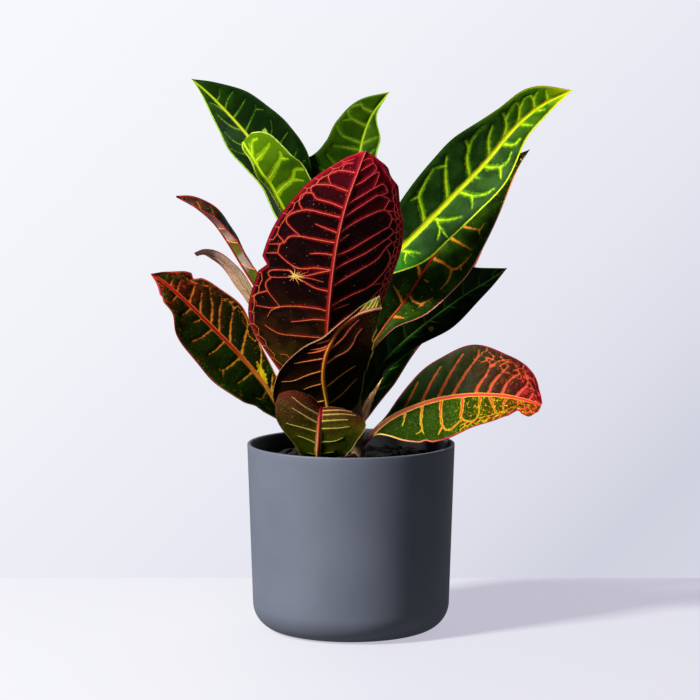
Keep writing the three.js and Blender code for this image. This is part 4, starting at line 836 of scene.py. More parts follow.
class LeafSurface:
    """Middle surface of a leaf, over its place in rows and its share of the half-width."""

    def __init__(self, leaf):
        self.leaf = leaf
        turn = leaf["blade"][0][TURN]
        centre = stem_at(leaf["joint"])
        start = centre[:3] + unit(np.array(leaf["stalk"][0]) - centre[:3]) * centre[3] * STALK_START
        stalk = [
            (*point, STALK_HALF_WIDTH, STALK_HALF_WIDTH, turn, 0, 0, 0, 0, *STALK_HEM)
            for point in (start, *leaf["stalk"])
        ]
        hem = leaf.get("hem", [(0.0, 0.0)] * len(leaf["blade"]))
        blade = [
            (*row, *[per_row(half, i) for half in (*leaf["fold"], *leaf["curl"])], *hem[i])
            for i, row in enumerate(leaf["blade"])
        ]
        self.rows = np.array(stalk + blade, float)
        self.stalk_count = len(stalk)
        self.last = len(self.rows) - 1
        self.facing = 1 if leaf["face"] == "upper" else -1

    def directions(self, t, turn):
        step = smooth(self.rows, t + SLOPE_STEP)[:, :3] - smooth(self.rows, t - SLOPE_STEP)[:, :3]
        along = unit(step)
        if "side" in self.leaf:
            side = np.array(self.leaf["side"], float)
            across = unit(side - along * (along @ side)[:, None])
        else:
            across = unit(np.cross(along, np.array([0.0, -1.0, 0.0])))
        out = np.cross(across, along)
        angle = np.radians(turn)[:, None]
        return across * np.cos(angle) + out * np.sin(angle), out * np.cos(angle) - across * np.sin(angle)

    def half_width(self, row, blade_row, right):
        width = np.maximum(np.where(right, row[:, RIGHT_WIDTH], row[:, LEFT_WIDTH]), LEAST_HALF_WIDTH)
        for side, at, depth, half_length in self.leaf.get("nicks", []):
            cut = depth * np.maximum(0, 1 - np.abs(blade_row - at) / half_length)
            width = np.where(right == (side == "right"), width - cut, width)
        return width

    def at(self, place, share):
        """Points, normals towards the front and half-widths at places in rows and signed shares."""
        place, share = np.broadcast_arrays(np.asarray(place, float), np.asarray(share, float))
        shape = place.shape
        place = place.ravel()
        share = share.ravel()
        t = place / self.last
        row = smooth(self.rows, t)
        across, out = self.directions(t, row[:, TURN])
        blade_row = place - self.stalk_count
        right = share >= 0
        width = self.half_width(row, blade_row, right)
        reach = np.abs(share)
        steps = (np.arange(ARC_STEPS) + 0.5) / ARC_STEPS
        fold = np.radians(np.where(right, row[:, RIGHT_FOLD], row[:, LEFT_FOLD]))[:, None]
        curl = np.radians(np.where(right, row[:, RIGHT_CURL], row[:, LEFT_CURL]))[:, None]
        hem_length = np.where(right, 0, row[:, HEM_LENGTH])[:, None]
        hem_angle = np.radians(np.where(right, 0, row[:, HEM_ANGLE]))[:, None]
        wide = width[:, None]

        def angle_at(u):
            into_hem = np.clip((u * wide - wide + hem_length) / HEM_BEND_LENGTH, 0, 1)
            return fold + curl * u ** CURL_POWER + hem_angle * into_hem

        middle = angle_at(reach[:, None] * steps)
        span = reach * width / ARC_STEPS
        sideways = np.cos(middle).sum(1) * span
        outwards = np.sin(middle).sum(1) * span
        sign = np.where(right, 1, -1)
        height, count, start = self.leaf["wave"]
        on_blade = np.clip(blade_row + 1, 0, 1)
        phase = FULL_TURN * (count * t + start + np.where(right, WAVE_LAG, 0))
        wave = height * reach ** 2 * np.sin(phase) * on_blade
        phase = FULL_TURN * (RIPPLES_PER_WAVE * count * t + RIPPLE_LAG * sign)
        ripple = RIPPLE_HEIGHT * reach ** 3 * np.sin(phase) * on_blade
        points = (row[:, :3] + (sign * sideways)[:, None] * across
                  + (self.facing * outwards + wave + ripple)[:, None] * out)
        angle = angle_at(reach[:, None])[:, 0]
        normals = out * np.cos(angle)[:, None] - (sign * self.facing * np.sin(angle))[:, None] * across
        return points.reshape(*shape, 3), normals.reshape(*shape, 3), width.reshape(shape)


def even_places(surface, first, last, step):
    """Places in rows at about equal distances along the leaf."""
    dense = np.linspace(first, last, DENSE_STEPS)
    lengths = [step_lengths(surface.at(dense, share)[0]) for share in (-1, -0.5, 0, 0.5, 1)]
    travelled = running_total(np.mean(lengths, axis=0))
    count = max(LEAST_PLACES, int(travelled[-1] / step))
    return np.interp(np.linspace(0, travelled[-1], count + 1), travelled, dense)


def point_tree(points):
    tree = kdtree.KDTree(len(points))
    for i, point in enumerate(points):
        tree.insert(point, i)
    tree.balance()
    return tree


def nearest(tree, points):
    """Distance to, and number of, the nearest point in the tree for each point."""
    found = [tree.find(point) for point in points]
    return np.array([f[2] for f in found]), np.array([f[1] for f in found])


def spread_veins(first, last, count, lean):
    """Evenly spread side veins on both halves, where nothing else is known of them."""
    middle, end = SPREAD_SHARES
    lines = []
    for start in np.linspace(first, last, count):
        for side in (-1, 1):
            row = start + (SPREAD_LAG if side > 0 else 0)
            lines.append([(row, 0), (row + lean * middle, side * middle), (row + lean, side * end)])
    return lines


def vein_paths(leaf, surface):
    """Each vein as places, shares and relative widths of points a small step apart."""
    lines = leaf["veins"] if "veins" in leaf else spread_veins(*leaf["spread"])
    paths = []
    for line in lines:
        dense = smooth(np.array(line, float), np.linspace(0, 1, VEIN_CURVE_STEPS))
        place = dense[:, 0] + surface.stalk_count
        travelled = running_total(step_lengths(surface.at(place, dense[:, 1])[0]))
        count = max(LEAST_VEIN_STEPS, int(travelled[-1] / VEIN_STEP))
        even = np.linspace(0, travelled[-1], count + 1)
        from_rib = abs(line[0][1]) < RIB_SHARE
        start_width = 1.0 if from_rib else BRANCH_WIDTH
        width = start_width * (1 - VEIN_TAPER * np.linspace(0, 1, count + 1))
        paths.append((np.interp(even, travelled, place), np.interp(even, travelled, dense[:, 1]), width))
    for net in leaf.get("net", []):
        paths += margin_net(surface, *net)
    return paths + star_paths(leaf, surface)


def margin_net(surface, side, first, last, cell, depths):
    """Thin lines round the rows of small cells between a margin and the side veins."""
    places = even_places(surface, first + surface.stalk_count, last + surface.stalk_count, cell)
    places[1:-1] += rng.uniform(-NET_JITTER, NET_JITTER, len(places) - 2) * np.diff(places)[1:]
    width = surface.at(places, side)[2]
    outside = np.full(len(places), NET_MARGIN * side)
    steps = np.linspace(0, 1, max(LEAST_NET_STEPS, int(cell / VEIN_STEP)))
    paths = []
    for row, depth in enumerate(depths):
        inner = (np.arange(len(places)) + row) % 2
        jitter = rng.uniform(-NET_DEPTH_JITTER, NET_DEPTH_JITTER, len(places))
        depth = depth + cell * (NET_ZIGZAG * inner + jitter)
        shares = side * np.clip(1 - depth / width, *NET_LIMITS)
        ends = [(i, i + 1, shares[i], shares[i + 1]) for i in range(len(places) - 1)]
        ends += [(i, i, outside[i], shares[i]) for i in range(len(places)) if not inner[i]]
        for i, j, start, end in ends:
            path = (places[i] + (places[j] - places[i]) * steps, start + (end - start) * steps)
            paths.append((*path, np.full(len(steps), NET_WIDTH)))
        outside = shares
    return paths


def star_paths(leaf, surface):
    """Short lines that radiate from a scar, where the leaf has one."""
    if "star" not in leaf:
        return []
    row, share, reach = leaf["star"]
    place = row + surface.stalk_count
    width = surface.at(place, share)[2]
    row_length = np.linalg.norm(surface.at(place + 0.5, share)[0] - surface.at(place - 0.5, share)[0])
    paths = []
    for i in range(STAR_LINES):
        angle = FULL_TURN * (i + rng.uniform(-STAR_JITTER, STAR_JITTER)) / STAR_LINES
        length = reach * rng.uniform(*STAR_LENGTHS)
        steps = np.linspace(0, length, max(LEAST_VEIN_STEPS, int(length / VEIN_STEP)))
        places = place + steps * math.sin(angle) / row_length
        shares = share + steps * math.cos(angle) / float(width)
        paths.append((places, shares, STAR_WIDTH * (1 - STAR_TAPER * steps / length)))
    return paths


class MeshParts:
    """Gathers points, faces, per-point values and face materials of one mesh."""

    def __init__(self, values=()):
        self.points = []
        self.faces = []
        self.slots = []
        self.values = {name: [] for name in values}
        self.count = 0

    def add(self, points, faces, slots=0, **values):
        points = np.asarray(points, float).reshape(-1, 3)
        self.points.append(points)
        self.faces.append(np.asarray(faces) + self.count)
        self.slots.append(np.broadcast_to(slots, len(faces)))
        for name in self.values:
            self.values[name].append(np.broadcast_to(values[name], len(points)).astype(float))
        self.count += len(points)

    def make(self, name, materials):
        mesh = bpy.data.meshes.new(name)
        points = np.concatenate(self.points) * MM
        faces = np.concatenate(self.faces)
        mesh.from_pydata(points.tolist(), [], faces.tolist())
        mesh.polygons.foreach_set("material_index", np.concatenate(self.slots).astype(np.int32))
        mesh.polygons.foreach_set("use_smooth", np.ones(len(faces), bool))
        for key, parts in self.values.items():
            attribute = mesh.attributes.new(key, "FLOAT", "POINT")
            attribute.data.foreach_set("value", np.concatenate(parts).astype(np.float32))
        for material in materials:
            mesh.materials.append(material)
        mesh.update()
        return add_object(name, mesh)


def add_object(name, data):
    made = bpy.data.objects.new(name, data)
    bpy.context.scene.collection.objects.link(made)
    return made


def grid_faces(rows, columns, flip=False, wrap=False):
    """Quads of a grid of points in row order."""
    i, j = np.meshgrid(np.arange(rows - 1), np.arange(columns if wrap else columns - 1), indexing="ij")
    a = i * columns + j
    b = i * columns + (j + 1) % columns
    faces = np.stack([a, b, b + columns, a + columns], -1).reshape(-1, 4)
    return faces[:, ::-1] if flip else faces


def angles_round(sides):
    return FULL_TURN * np.arange(sides) / sides


def ring_points(radius, height, sides, x=0, y=0):
    """Rings of points round x and y. Each value is one for all, or a column with one for each ring."""
    angles = angles_round(sides)
    rings = np.broadcast_arrays(x + radius * np.cos(angles), y + radius * np.sin(angles), height)
    return np.stack(rings, -1)


FRONT, BACK = 0, 1
LEAF_VALUES = ("vein", "rib", "edge", "place", "share", "stalk", "spot")


class LeafBuilder:
    """Builds the fine mesh of one leaf: blade, midrib with stalk, and veins."""

    def __init__(self, name, leaf):
        self.name = name
        self.surface = LeafSurface(leaf)
        self.paths = vein_paths(leaf, self.surface)
        self.first = self.surface.stalk_count - 1
        self.upper_sign = self.surface.facing
        self.mesh = MeshParts(LEAF_VALUES)
        self.prepare_trees()

    def prepare_trees(self):
        points = [self.surface.at(place, share)[0] for place, share, _ in self.paths]
        self.vein_tree = point_tree(np.concatenate(points))
        self.path_widths = np.concatenate([width for _, _, width in self.paths])
        places = even_places(self.surface, self.first, self.surface.last, EDGE_STEP)
        margin = [self.surface.at(places, side)[0] for side in (-1, 1)]
        self.edge_tree = point_tree(np.concatenate(margin))
        self.spots = [
            (self.surface.at(row + self.surface.stalk_count, share)[0], radius)
            for row, share, radius in self.surface.leaf.get("spots", [])
        ]

    def spot_distance(self, points):
        """Distance to the nearest spot, in its radius, for each point."""
        flat = points.reshape(-1, 3)
        distance = np.full(len(flat), NO_SPOT)
        for centre, radius in self.spots:
            distance = np.minimum(distance, np.linalg.norm(flat - centre, axis=1) / radius)
        return distance

    def blade_share(self, place):
        """Place along the blade from 0 at its base to 1 at its tip."""
        return (place - self.first) / (self.surface.last - self.first)

    def rib_taper(self, place):
        return 1 - RIB_TAPER * np.clip(self.blade_share(place), 0, 1)

    def half_thickness(self, edge):
        return EDGE_HALF + (BLADE_HALF - EDGE_HALF) * np.clip(edge / EDGE_REACH, 0, 1)

    def lift(self, vein, rib, edge):
        """Height of the blade between its veins, towards its upper side."""
        from_rib = 1 - np.exp(-(rib / QUILT_REACH) ** 2)
        from_vein = 1 - np.exp(-(vein / QUILT_REACH) ** 2)
        from_edge = np.clip(edge / QUILT_REACH, 0, 1)
        return QUILT_HEIGHT * from_vein * from_rib * from_edge * self.upper_sign

    def measures(self, place, share, points, width):
        """Distances to veins, midrib and margin of points on the middle surface."""
        flat = points.reshape(-1, 3)
        vein, number = nearest(self.vein_tree, flat)
        vein = vein / np.maximum(self.path_widths[number], LEAST_VEIN_WIDTH)
        edge = nearest(self.edge_tree, flat)[0]
        rib = (np.abs(share) * width / self.rib_taper(place)).ravel()
        return vein, rib, edge

    def add_blade(self):
        """Front and back of the blade as two grids, joined all round by a rim."""
        surface = self.surface
        places = even_places(surface, self.first, surface.last, CELL)
        dense = np.linspace(self.first, surface.last, WIDTH_STEPS)
        shares = []
        for side in (-1, 1):
            widest = surface.at(dense, side)[2].max()
            shares.append(side * np.linspace(0, 1, max(LEAST_COLUMNS, int(widest / CELL)) + 1))
        shares = np.concatenate([shares[0][::-1], shares[1][1:]])
        place, share = np.meshgrid(places, shares, indexing="ij")
        points, normals, width = surface.at(place, share)
        vein, rib, edge = self.measures(place, share, points, width)
        lift = self.lift(vein, rib, edge).reshape(place.shape)
        half = self.half_thickness(edge).reshape(place.shape)
        rows, columns = place.shape
        values = dict(vein=vein, rib=rib, edge=edge, place=self.blade_share(place).ravel(),
                      share=share.ravel(), stalk=0, spot=self.spot_distance(points))
        base = self.mesh.count
        for side, slot in ((1, FRONT), (-1, BACK)):
            outer = points + normals * (lift + side * half)[..., None]
            self.mesh.add(outer, grid_faces(rows, columns, flip=side > 0), slot, **values)
        shift = rows * columns
        rim = []
        for i in range(rows - 1):
            for j, turn in ((0, 1), (columns - 1, -1)):
                a = i * columns + j
                rim.append([a, a + columns, a + columns + shift, a + shift][::turn])
        for j in range(columns - 1):
            first_row = [j, j + 1, j + 1 + shift, j + shift]
            rim.append(first_row[::-1])
            rim.append([k + (rows - 1) * columns for k in first_row])
        self.mesh.faces.append(np.array(rim) + base)
        self.mesh.slots.append(np.full(len(rim), FRONT))

    def add_rib(self):
        """Midrib and stalk as one tapering tube, mostly below the blade."""
        surface = self.surface
        places = even_places(surface, 0, surface.last, CELL)
        centre, normals, _ = surface.at(places, 0)
        blade_share = self.blade_share(places)
        blade = np.clip(blade_share, 0, 1)
        on_blade = np.clip(places - self.first, 0, 1)
        on_blade = on_blade * on_blade * (3 - 2 * on_blade)
        radius = (STALK_RADIUS + (RIB_RADIUS - STALK_RADIUS) * on_blade) * (1 - blade) ** RIB_TAPER_POWER
        radius = radius * surface.leaf.get("rib_scale", 1) + RIB_RADIUS_AT_TIP * blade
        along = np.clip(places / max(self.first, 1), 0, 1)
        radius = radius + STALK_FLARE * np.clip(1 - along * STALK_FLARE_PARTS, 0, 1) ** 2
        direction = unit(np.gradient(centre, axis=0))
        across = unit(np.cross(normals * self.upper_sign, direction))
        up = np.cross(direction, across)
        angles = angles_round(RIB_SIDES)
        sink = radius * RIB_SINK * on_blade
        points = (centre[:, None] - up[:, None] * sink[:, None, None]
                  + across[:, None] * np.cos(angles)[None, :, None] * radius[:, None, None]
                  + up[:, None] * np.sin(angles)[None, :, None] * radius[:, None, None])
        rib = np.abs(np.cos(angles))[None] * radius[:, None] / self.rib_taper(places)[:, None]
        facing_up = np.tile(np.sin(angles + math.pi / RIB_SIDES) > 0, len(places) - 1)
        slots = np.where(facing_up == (self.upper_sign > 0), FRONT, BACK)
        stalk = 1 - np.clip((places - self.first) / STALK_FADE, 0, 1)
        self.mesh.add(points, grid_faces(len(places), RIB_SIDES, wrap=True), slots, vein=FAR_OFF,
                      rib=rib.ravel(), edge=FAR_OFF, place=np.repeat(blade_share, RIB_SIDES), share=0,
                      stalk=np.repeat(stalk, RIB_SIDES), spot=NO_SPOT)

    def add_veins(self):
        """Each vein as a low ridge on both sides of the blade, higher on the underside."""
        offsets, dome = VEIN_PROFILE.T
        count = len(offsets)
        for place, share, width in self.paths:
            points, normals, wide = self.surface.at(place, share)
            edge = nearest(self.edge_tree, points)[0]
            rib = np.abs(share) * wide / self.rib_taper(place)
            lift = self.lift(np.zeros_like(rib), rib, edge)
            half = self.half_thickness(edge)
            across = unit(np.cross(normals, unit(np.gradient(points, axis=0))))
            reach = VEIN_RIDGE * width
            along = dict(rib=rib, edge=edge, place=self.blade_share(place), share=share,
                         spot=self.spot_distance(points))
            values = {key: np.repeat(line, count) for key, line in along.items()}
            values.update(vein=np.outer(reach / width, np.abs(offsets)).ravel(), stalk=0)
            for side, slot in ((1, FRONT), (-1, BACK)):
                height = (VEIN_RISE_ABOVE if side == self.upper_sign else VEIN_RISE_BELOW) * width
                out = (side * (half - VEIN_BEDDING) + lift)[:, None] + side * dome[None] * height[:, None]
                ridge = (points[:, None] + across[:, None] * offsets[None, :, None] * reach[:, None, None]
                         + normals[:, None] * out[..., None])
                self.mesh.add(ridge, grid_faces(len(place), count, flip=side < 0), slot, **values)

    def build(self, materials):
        self.add_blade()
        self.add_rib()
        self.add_veins()
        return self.mesh.make(self.name + "_blade", materials)


class Shader:
    """Nodes of a material or world, added one at a time and wired by their outputs."""

    def __init__(self, owner, space="Object"):
        self.owner = owner
        owner.use_nodes = True
        self.tree = owner.node_tree
        self.tree.nodes.clear()
        self.coordinates = self.add("ShaderNodeTexCoord").outputs[space]

    def add(self, kind, inputs=None, **settings):
        node = self.tree.nodes.new(kind)
        for key, value in settings.items():
            setattr(node, key, value)
        for key, value in (inputs or {}).items():
            if isinstance(value, bpy.types.NodeSocket):
                self.tree.links.new(value, node.inputs[key])
            else:
                node.inputs[key].default_value = value
        return node

    def value(self, name):
        return self.add("ShaderNodeAttribute", attribute_name=name).outputs["Fac"]

    def axis(self, name):
        return self.add("ShaderNodeSeparateXYZ", {"Vector": self.coordinates}).outputs[name]

    def camera_ray(self):
        return self.add("ShaderNodeLightPath").outputs["Is Camera Ray"]

    def noise(self, size, detail=2.0, roughness=0.4):
        """Noise from 0 to 1 with lumps of a size in mm."""
        inputs = {"Vector": self.coordinates, "Scale": 1 / (size * MM)}
        inputs.update({"Detail": detail, "Roughness": roughness})
        return self.add("ShaderNodeTexNoise", inputs).outputs["Fac"]

    def web(self, size):
        """0 on the lines of a web with cells of a size in mm, and more away from them."""
        inputs = {"Vector": self.coordinates, "Scale": 1 / (size * MM)}
        return self.add("ShaderNodeTexVoronoi", inputs, feature="DISTANCE_TO_EDGE").outputs["Distance"]

    def math(self, operation, a, b=0.0):
        return self.add("ShaderNodeMath", {0: a, 1: b}, operation=operation).outputs[0]

    def step(self, value, low, high, top=1.0, kind="SMOOTHSTEP"):
        """0 at low and top at high, smooth unless kind is LINEAR; low may be above high."""
        inputs = {"Value": value, "From Min": low, "From Max": high, "To Min": 0.0, "To Max": top}
        return self.add("ShaderNodeMapRange", inputs, interpolation_type=kind).outputs["Result"]

    def mix(self, factor, a, b):
        return self.add("ShaderNodeMix", {0: factor, 6: a, 7: b}, data_type="RGBA").outputs[2]

    def ramp(self, value, stops, tone=LEAF_TONE):
        """Colour along a value; stops are (position, red, green, blue) or one colour."""
        if not isinstance(stops, list):
            return srgb(*stops, tone)
        node = self.add("ShaderNodeValToRGB", {"Fac": value})
        elements = node.color_ramp.elements
        elements[0].position = stops[0][0]
        elements[-1].position = stops[-1][0]
        for position, *_ in stops[1:-1]:
            elements.new(position)
        for element, (_, *colour) in zip(elements, stops):
            element.color = srgb(*colour, tone)
        return node.outputs["Color"]

    def surface(self, inputs):
        shader = self.add("ShaderNodeBsdfPrincipled", inputs)
        self.add("ShaderNodeOutputMaterial", {"Surface": shader.outputs[0]})
        return self.owner

    def finish(self, colour, roughness, gloss, bump, bump_distance):
        normal = self.add("ShaderNodeBump", {"Height": bump, "Distance": bump_distance, "Strength": 1.0})
        return self.surface({"Base Color": colour, "Roughness": roughness, "Specular IOR Level": gloss,
                             "Normal": normal.outputs["Normal"]})


def new_shader(name):
    return Shader(bpy.data.materials.new(name))


def leaf_material(name, look):
    """One side of a leaf: blade, mottling, vein halo and core, midrib, margin and spots."""
    s = new_shader(name)
    vein, rib, edge, place, share, stalk, spot = [s.value(key) for key in LEAF_VALUES]
    right = s.step(share, -HALF_BLEND, HALF_BLEND)
    grain = s.noise(GRAIN_SIZE, detail=3, roughness=0.6)
    wander = s.math("SUBTRACT", s.noise(WANDER_SIZE, detail=3), 0.5)
    ragged = look.get("ragged", 1.0)

    def paint(key):
        return s.ramp(place, look[key])

    def paint_halves(key):
        return s.mix(right, paint(key), paint(key + "_right")) if key + "_right" in look else paint(key)

    def band(under, over, key, distance, width, ragged=1.0):
        """One colour over another up to a width from a line, with an uneven and soft edge."""
        amount, outer, inner = BANDS[key]
        reach = s.math("ADD", distance, s.math("MULTIPLY", wander, width * amount * ragged))
        return s.mix(s.step(reach, width * outer, width * inner), under, over)

    def blotches(under, over, size, threshold, mask):
        """One colour over another in blotches, where the mask lets them."""
        noise = s.noise(size, detail=3, roughness=0.65)
        blotch = s.step(noise, threshold, threshold + BLOTCH_FADE)
        return s.mix(s.math("MULTIPLY", blotch, mask), under, s.ramp(place, over))

    patches = s.step(s.noise(look.get("patch_size", PATCH_SIZE), detail=3), *PATCH_SPAN)
    colour = s.mix(patches, paint_halves("blade"), paint_halves("patch"))
    halo = paint_halves("halo")
    web = s.step(s.web(WEB_SIZE), *WEB_SPAN)
    fine_lines = s.math("SUBTRACT", 1.0, web)
    colour = s.mix(s.math("MULTIPLY", fine_lines, look.get("net", WEB_STRENGTH)), colour, halo)
    for half, tint, size, threshold, low, high in look.get("mottles", []):
        mask = s.step(place, low, high)
        if half == "right":
            mask = s.math("MULTIPLY", mask, right)
        colour = blotches(colour, tint, size, threshold, mask)
    for tint, size, threshold, reach in look.get("edge_mottles", []):
        mask = s.step(edge, reach, reach * EDGE_MOTTLE_FULL)
        colour = blotches(colour, tint, size, threshold, mask)
    colour = band(colour, halo, "halo", vein, look["halo_width"], ragged)
    colour = band(colour, paint_halves("margin"), "margin", edge, look["margin_width"])
    if "line" in look:
        colour = s.mix(s.step(edge, *LINE_SPAN), colour, paint_halves("line"))
    colour = band(colour, paint_halves("core"), "core", vein, look.get("core_width", VEIN_CORE), ragged)
    if "spot" in look:
        colour = band(colour, paint("spot"), "spot", spot, 1)
        starry = s.math("MULTIPLY", s.step(spot, *STAR_SPAN), s.step(vein, *STAR_LINE_SPAN))
        colour = s.mix(starry, colour, paint("spot"))
    for key in ("rib_halo", "rib"):
        colour = band(colour, paint(key), key, rib, look[key + "_width"])
    colour = s.mix(stalk, colour, paint("stalk"))
    if "specks" in look:
        colour = s.mix(s.step(s.noise(SPECK_SIZE), *SPECK_SPAN), colour, paint("specks"))
    shade = s.math("SUBTRACT", 1.0, s.step(grain, *SHADE_SPAN))
    colour = s.mix(s.math("MULTIPLY", shade, SHADE_STRENGTH), colour, srgb(*SHADE_COLOUR))
    height = s.math("ADD", s.math("MULTIPLY", web, WEB_RELIEF), s.math("MULTIPLY", grain, GRAIN_RELIEF))
    roughness = look.get("roughness", LEAF_ROUGHNESS)
    return s.finish(colour, roughness, gloss=look["gloss"], bump=height, bump_distance=LEAF_BUMP)


def add_leaves():
    for name, leaf in LEAVES.items():
        slot, front, back = leaf["slot"], leaf["front"], leaf["back"]
        materials = [leaf_material(name + "_front", front), leaf_material(name + "_back", back)]
        piece = LeafBuilder(name, leaf).build(materials)
        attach(piece, "root")
        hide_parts(name)


def pot_material():
    s = new_shader("pot_plastic")
    clouds = s.noise(POT_CLOUD_SIZE, detail=3)
    grain = s.noise(POT_GRAIN_SIZE)
    colour = s.mix(s.step(clouds, *POT_CLOUD_SPAN), *[srgb(*colour) for colour in POT_COLOURS])
    # The inner wall below a depth under the rim is painted darker: painted shade.
    colour = s.mix(s.value("damp"), colour, srgb(*POT_SHADE_COLOUR))
    roughness = s.math("ADD", POT_ROUGHNESS, s.math("MULTIPLY", grain, POT_ROUGHNESS_RANGE))
    return s.finish(colour, roughness, gloss=0.3, bump=grain, bump_distance=0.00004)


def pot_radius(height):
    """Outer radius of the pot's sloping wall."""
    return FOOT_RADIUS + (RIM_RADIUS - FOOT_RADIUS) * (height - POT_CORNER) / (POT_HEIGHT - POT_CORNER)


def arc(x, z, radius, start, end, steps):
    """Points of a profile round a centre, between two angles in degrees."""
    angles = np.radians(np.linspace(start, end, steps + 1))
    return [(x + radius * math.cos(a), z + radius * math.sin(a)) for a in angles]


def add_pot():
    """Turned pot with a rounded foot and lip."""
    flat = FOOT_RADIUS - POT_CORNER
    lip = POT_HEIGHT - LIP_ROUNDING
    damp_height = POT_HEIGHT - POT_SHADE_DEPTH
    profile = [
        (0, DISH_DEPTH), (DISH_RADIUS, DISH_DEPTH), (DISH_RADIUS + DISH_SLOPE, 0), (flat - FOOT_INSET, 0),
    ]
    profile += arc(flat, POT_CORNER, POT_CORNER, -90, 0, CORNER_STEPS)
    for share in np.linspace(*WALL_SHARES, WALL_ROWS):
        height = POT_CORNER + (POT_HEIGHT - POT_CORNER) * share
        profile.append((pot_radius(height), height))
    profile += arc(RIM_RADIUS - LIP_ROUNDING, lip, LIP_ROUNDING, 0, 90, LIP_STEPS)
    profile += arc(RIM_RADIUS - POT_WALL + LIP_ROUNDING, lip, LIP_ROUNDING, 90, 180, LIP_STEPS)
    # From here on the profile is the inner wall, painted darker: painted shade.
    shade_start = len(profile)
    profile.append((pot_radius(damp_height) - POT_WALL, damp_height))
    profile += arc(flat, POT_CORNER, POT_CORNER - POT_WALL, 0, -90, INNER_CORNER_STEPS)
    profile.append((0, POT_WALL))
    radius, height = np.hsplit(np.array(profile), 2)
    damp = np.repeat(np.arange(len(profile)) >= shade_start, POT_SIDES)
    faces = grid_faces(len(profile), POT_SIDES, wrap=True)
    mesh = MeshParts(("damp",))
    mesh.add(ring_points(radius, height, POT_SIDES), faces, damp=damp)
    piece = mesh.make("pot_shell", [pot_material()])
    weld(piece)
    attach(piece, "root")
    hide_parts("pot")


def weld(piece):
    """Joins points that lie together, such as those on the axis of a turned shape."""
    work = bmesh.new()
    work.from_mesh(piece.data)
    bmesh.ops.remove_doubles(work, verts=work.verts, dist=WELD_DISTANCE)
    bmesh.ops.recalc_face_normals(work, faces=work.faces)
    work.to_mesh(piece.data)
    work.free()


def lumpy_colour(s, size, grain, colours, speck_start):
    """Two colours in lumps of a size, with specks of a third on the grain."""
    dark, pale, specks = [srgb(*colour) for colour in colours]
    lumps = s.noise(size, detail=4, roughness=0.6)
    colour = s.mix(s.step(lumps, *LUMP_SPAN), dark, pale)
    return s.mix(s.step(grain, speck_start, SPECK_END), colour, specks)


def soil_material():
    s = new_shader("soil_earth")
    grain = s.noise(SOIL_GRAIN_SIZE, detail=3, roughness=0.7)
    colour = lumpy_colour(s, SOIL_LUMP_SIZE, grain, SOIL_COLOURS, SOIL_SPECK_START)
    return s.finish(colour, roughness=0.95, gloss=0.2, bump=grain, bump_distance=0.0004)


def add_soil():
    """Rough soil surface with clumps and bits of bark."""
    wall = pot_radius(SOIL_LEVEL) - (POT_WALL + SOIL_GAP)
    radius = np.linspace(0, wall, SOIL_RINGS + 1)[:, None]
    points = ring_points(radius, SOIL_LEVEL, SOIL_SIDES)
    x, y = points[..., 0], points[..., 1]
    for _ in range(SOIL_WAVES):
        rate = rng.uniform(*SOIL_WAVE_RATES)
        heading = rng.uniform(0, FULL_TURN)
        start = rng.uniform(0, FULL_TURN)
        along = x * math.cos(heading) + y * math.sin(heading)
        height = SOIL_WAVE_HEIGHT / (SOIL_WAVE_DAMPING + rate)
        points[..., 2] += height * np.sin(rate * along + start)
    skirt = points[-1:] - np.array([0, 0, SOIL_SKIRT])
    points = np.concatenate([points, skirt])
    mesh = MeshParts()
    mesh.add(points, grid_faces(len(points), SOIL_SIDES, flip=True, wrap=True))
    for _ in range(CLUMPS):
        reach = wall * math.sqrt(rng.uniform(0, CLUMP_AREA))
        heading = rng.uniform(0, FULL_TURN)
        height = SOIL_LEVEL + rng.uniform(0, CLUMP_RISE)
        size = rng.uniform(*(SMALL_SIZES if rng.uniform() < SMALL_SHARE else LARGE_SIZES))
        add_clump(mesh, np.array([reach * math.cos(heading), reach * math.sin(heading), height]), size)
    piece = mesh.make("soil_bed", [soil_material()])
    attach(piece, "root")
    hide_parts("soil")


def add_clump(mesh, centre, size):
    """A lump of soil or bark: a rough ball, flattened and turned at random."""
    polar = np.linspace(0, math.pi, CLUMP_RINGS)[:, None]
    ball = ring_points(np.sin(polar), np.cos(polar), CLUMP_SIDES)
    ball *= 1 + rng.uniform(-CLUMP_ROUGHNESS, CLUMP_ROUGHNESS, (CLUMP_RINGS, CLUMP_SIDES, 1))
    ball[0] = ball[0].mean(0)
    ball[-1] = ball[-1].mean(0)
    ball = ball * np.array([rng.uniform(*stretch) for stretch in CLUMP_STRETCH]) * size
    tilt = rng.uniform(-CLUMP_TILT, CLUMP_TILT, 2).tolist()
    turned = np.array(Euler([*tilt, rng.uniform(0, CLUMP_TURN)]).to_matrix())
    mesh.add(ball @ turned.T + centre, grid_faces(CLUMP_RINGS, CLUMP_SIDES, flip=True, wrap=True))


def stem_material():
    s = new_shader("stem_bark")
    grain = s.noise(BARK_GRAIN_SIZE, detail=3, roughness=0.7)
    colour = lumpy_colour(s, BARK_LUMP_SIZE, grain, BARK_COLOURS, BARK_SPECK_START)
    colour = s.mix(s.step(s.axis("Z"), *GREEN_SPAN), colour, srgb(*BUD_COLOUR))
    return s.finish(colour, roughness=0.75, gloss=0.3, bump=grain, bump_distance=0.0003)


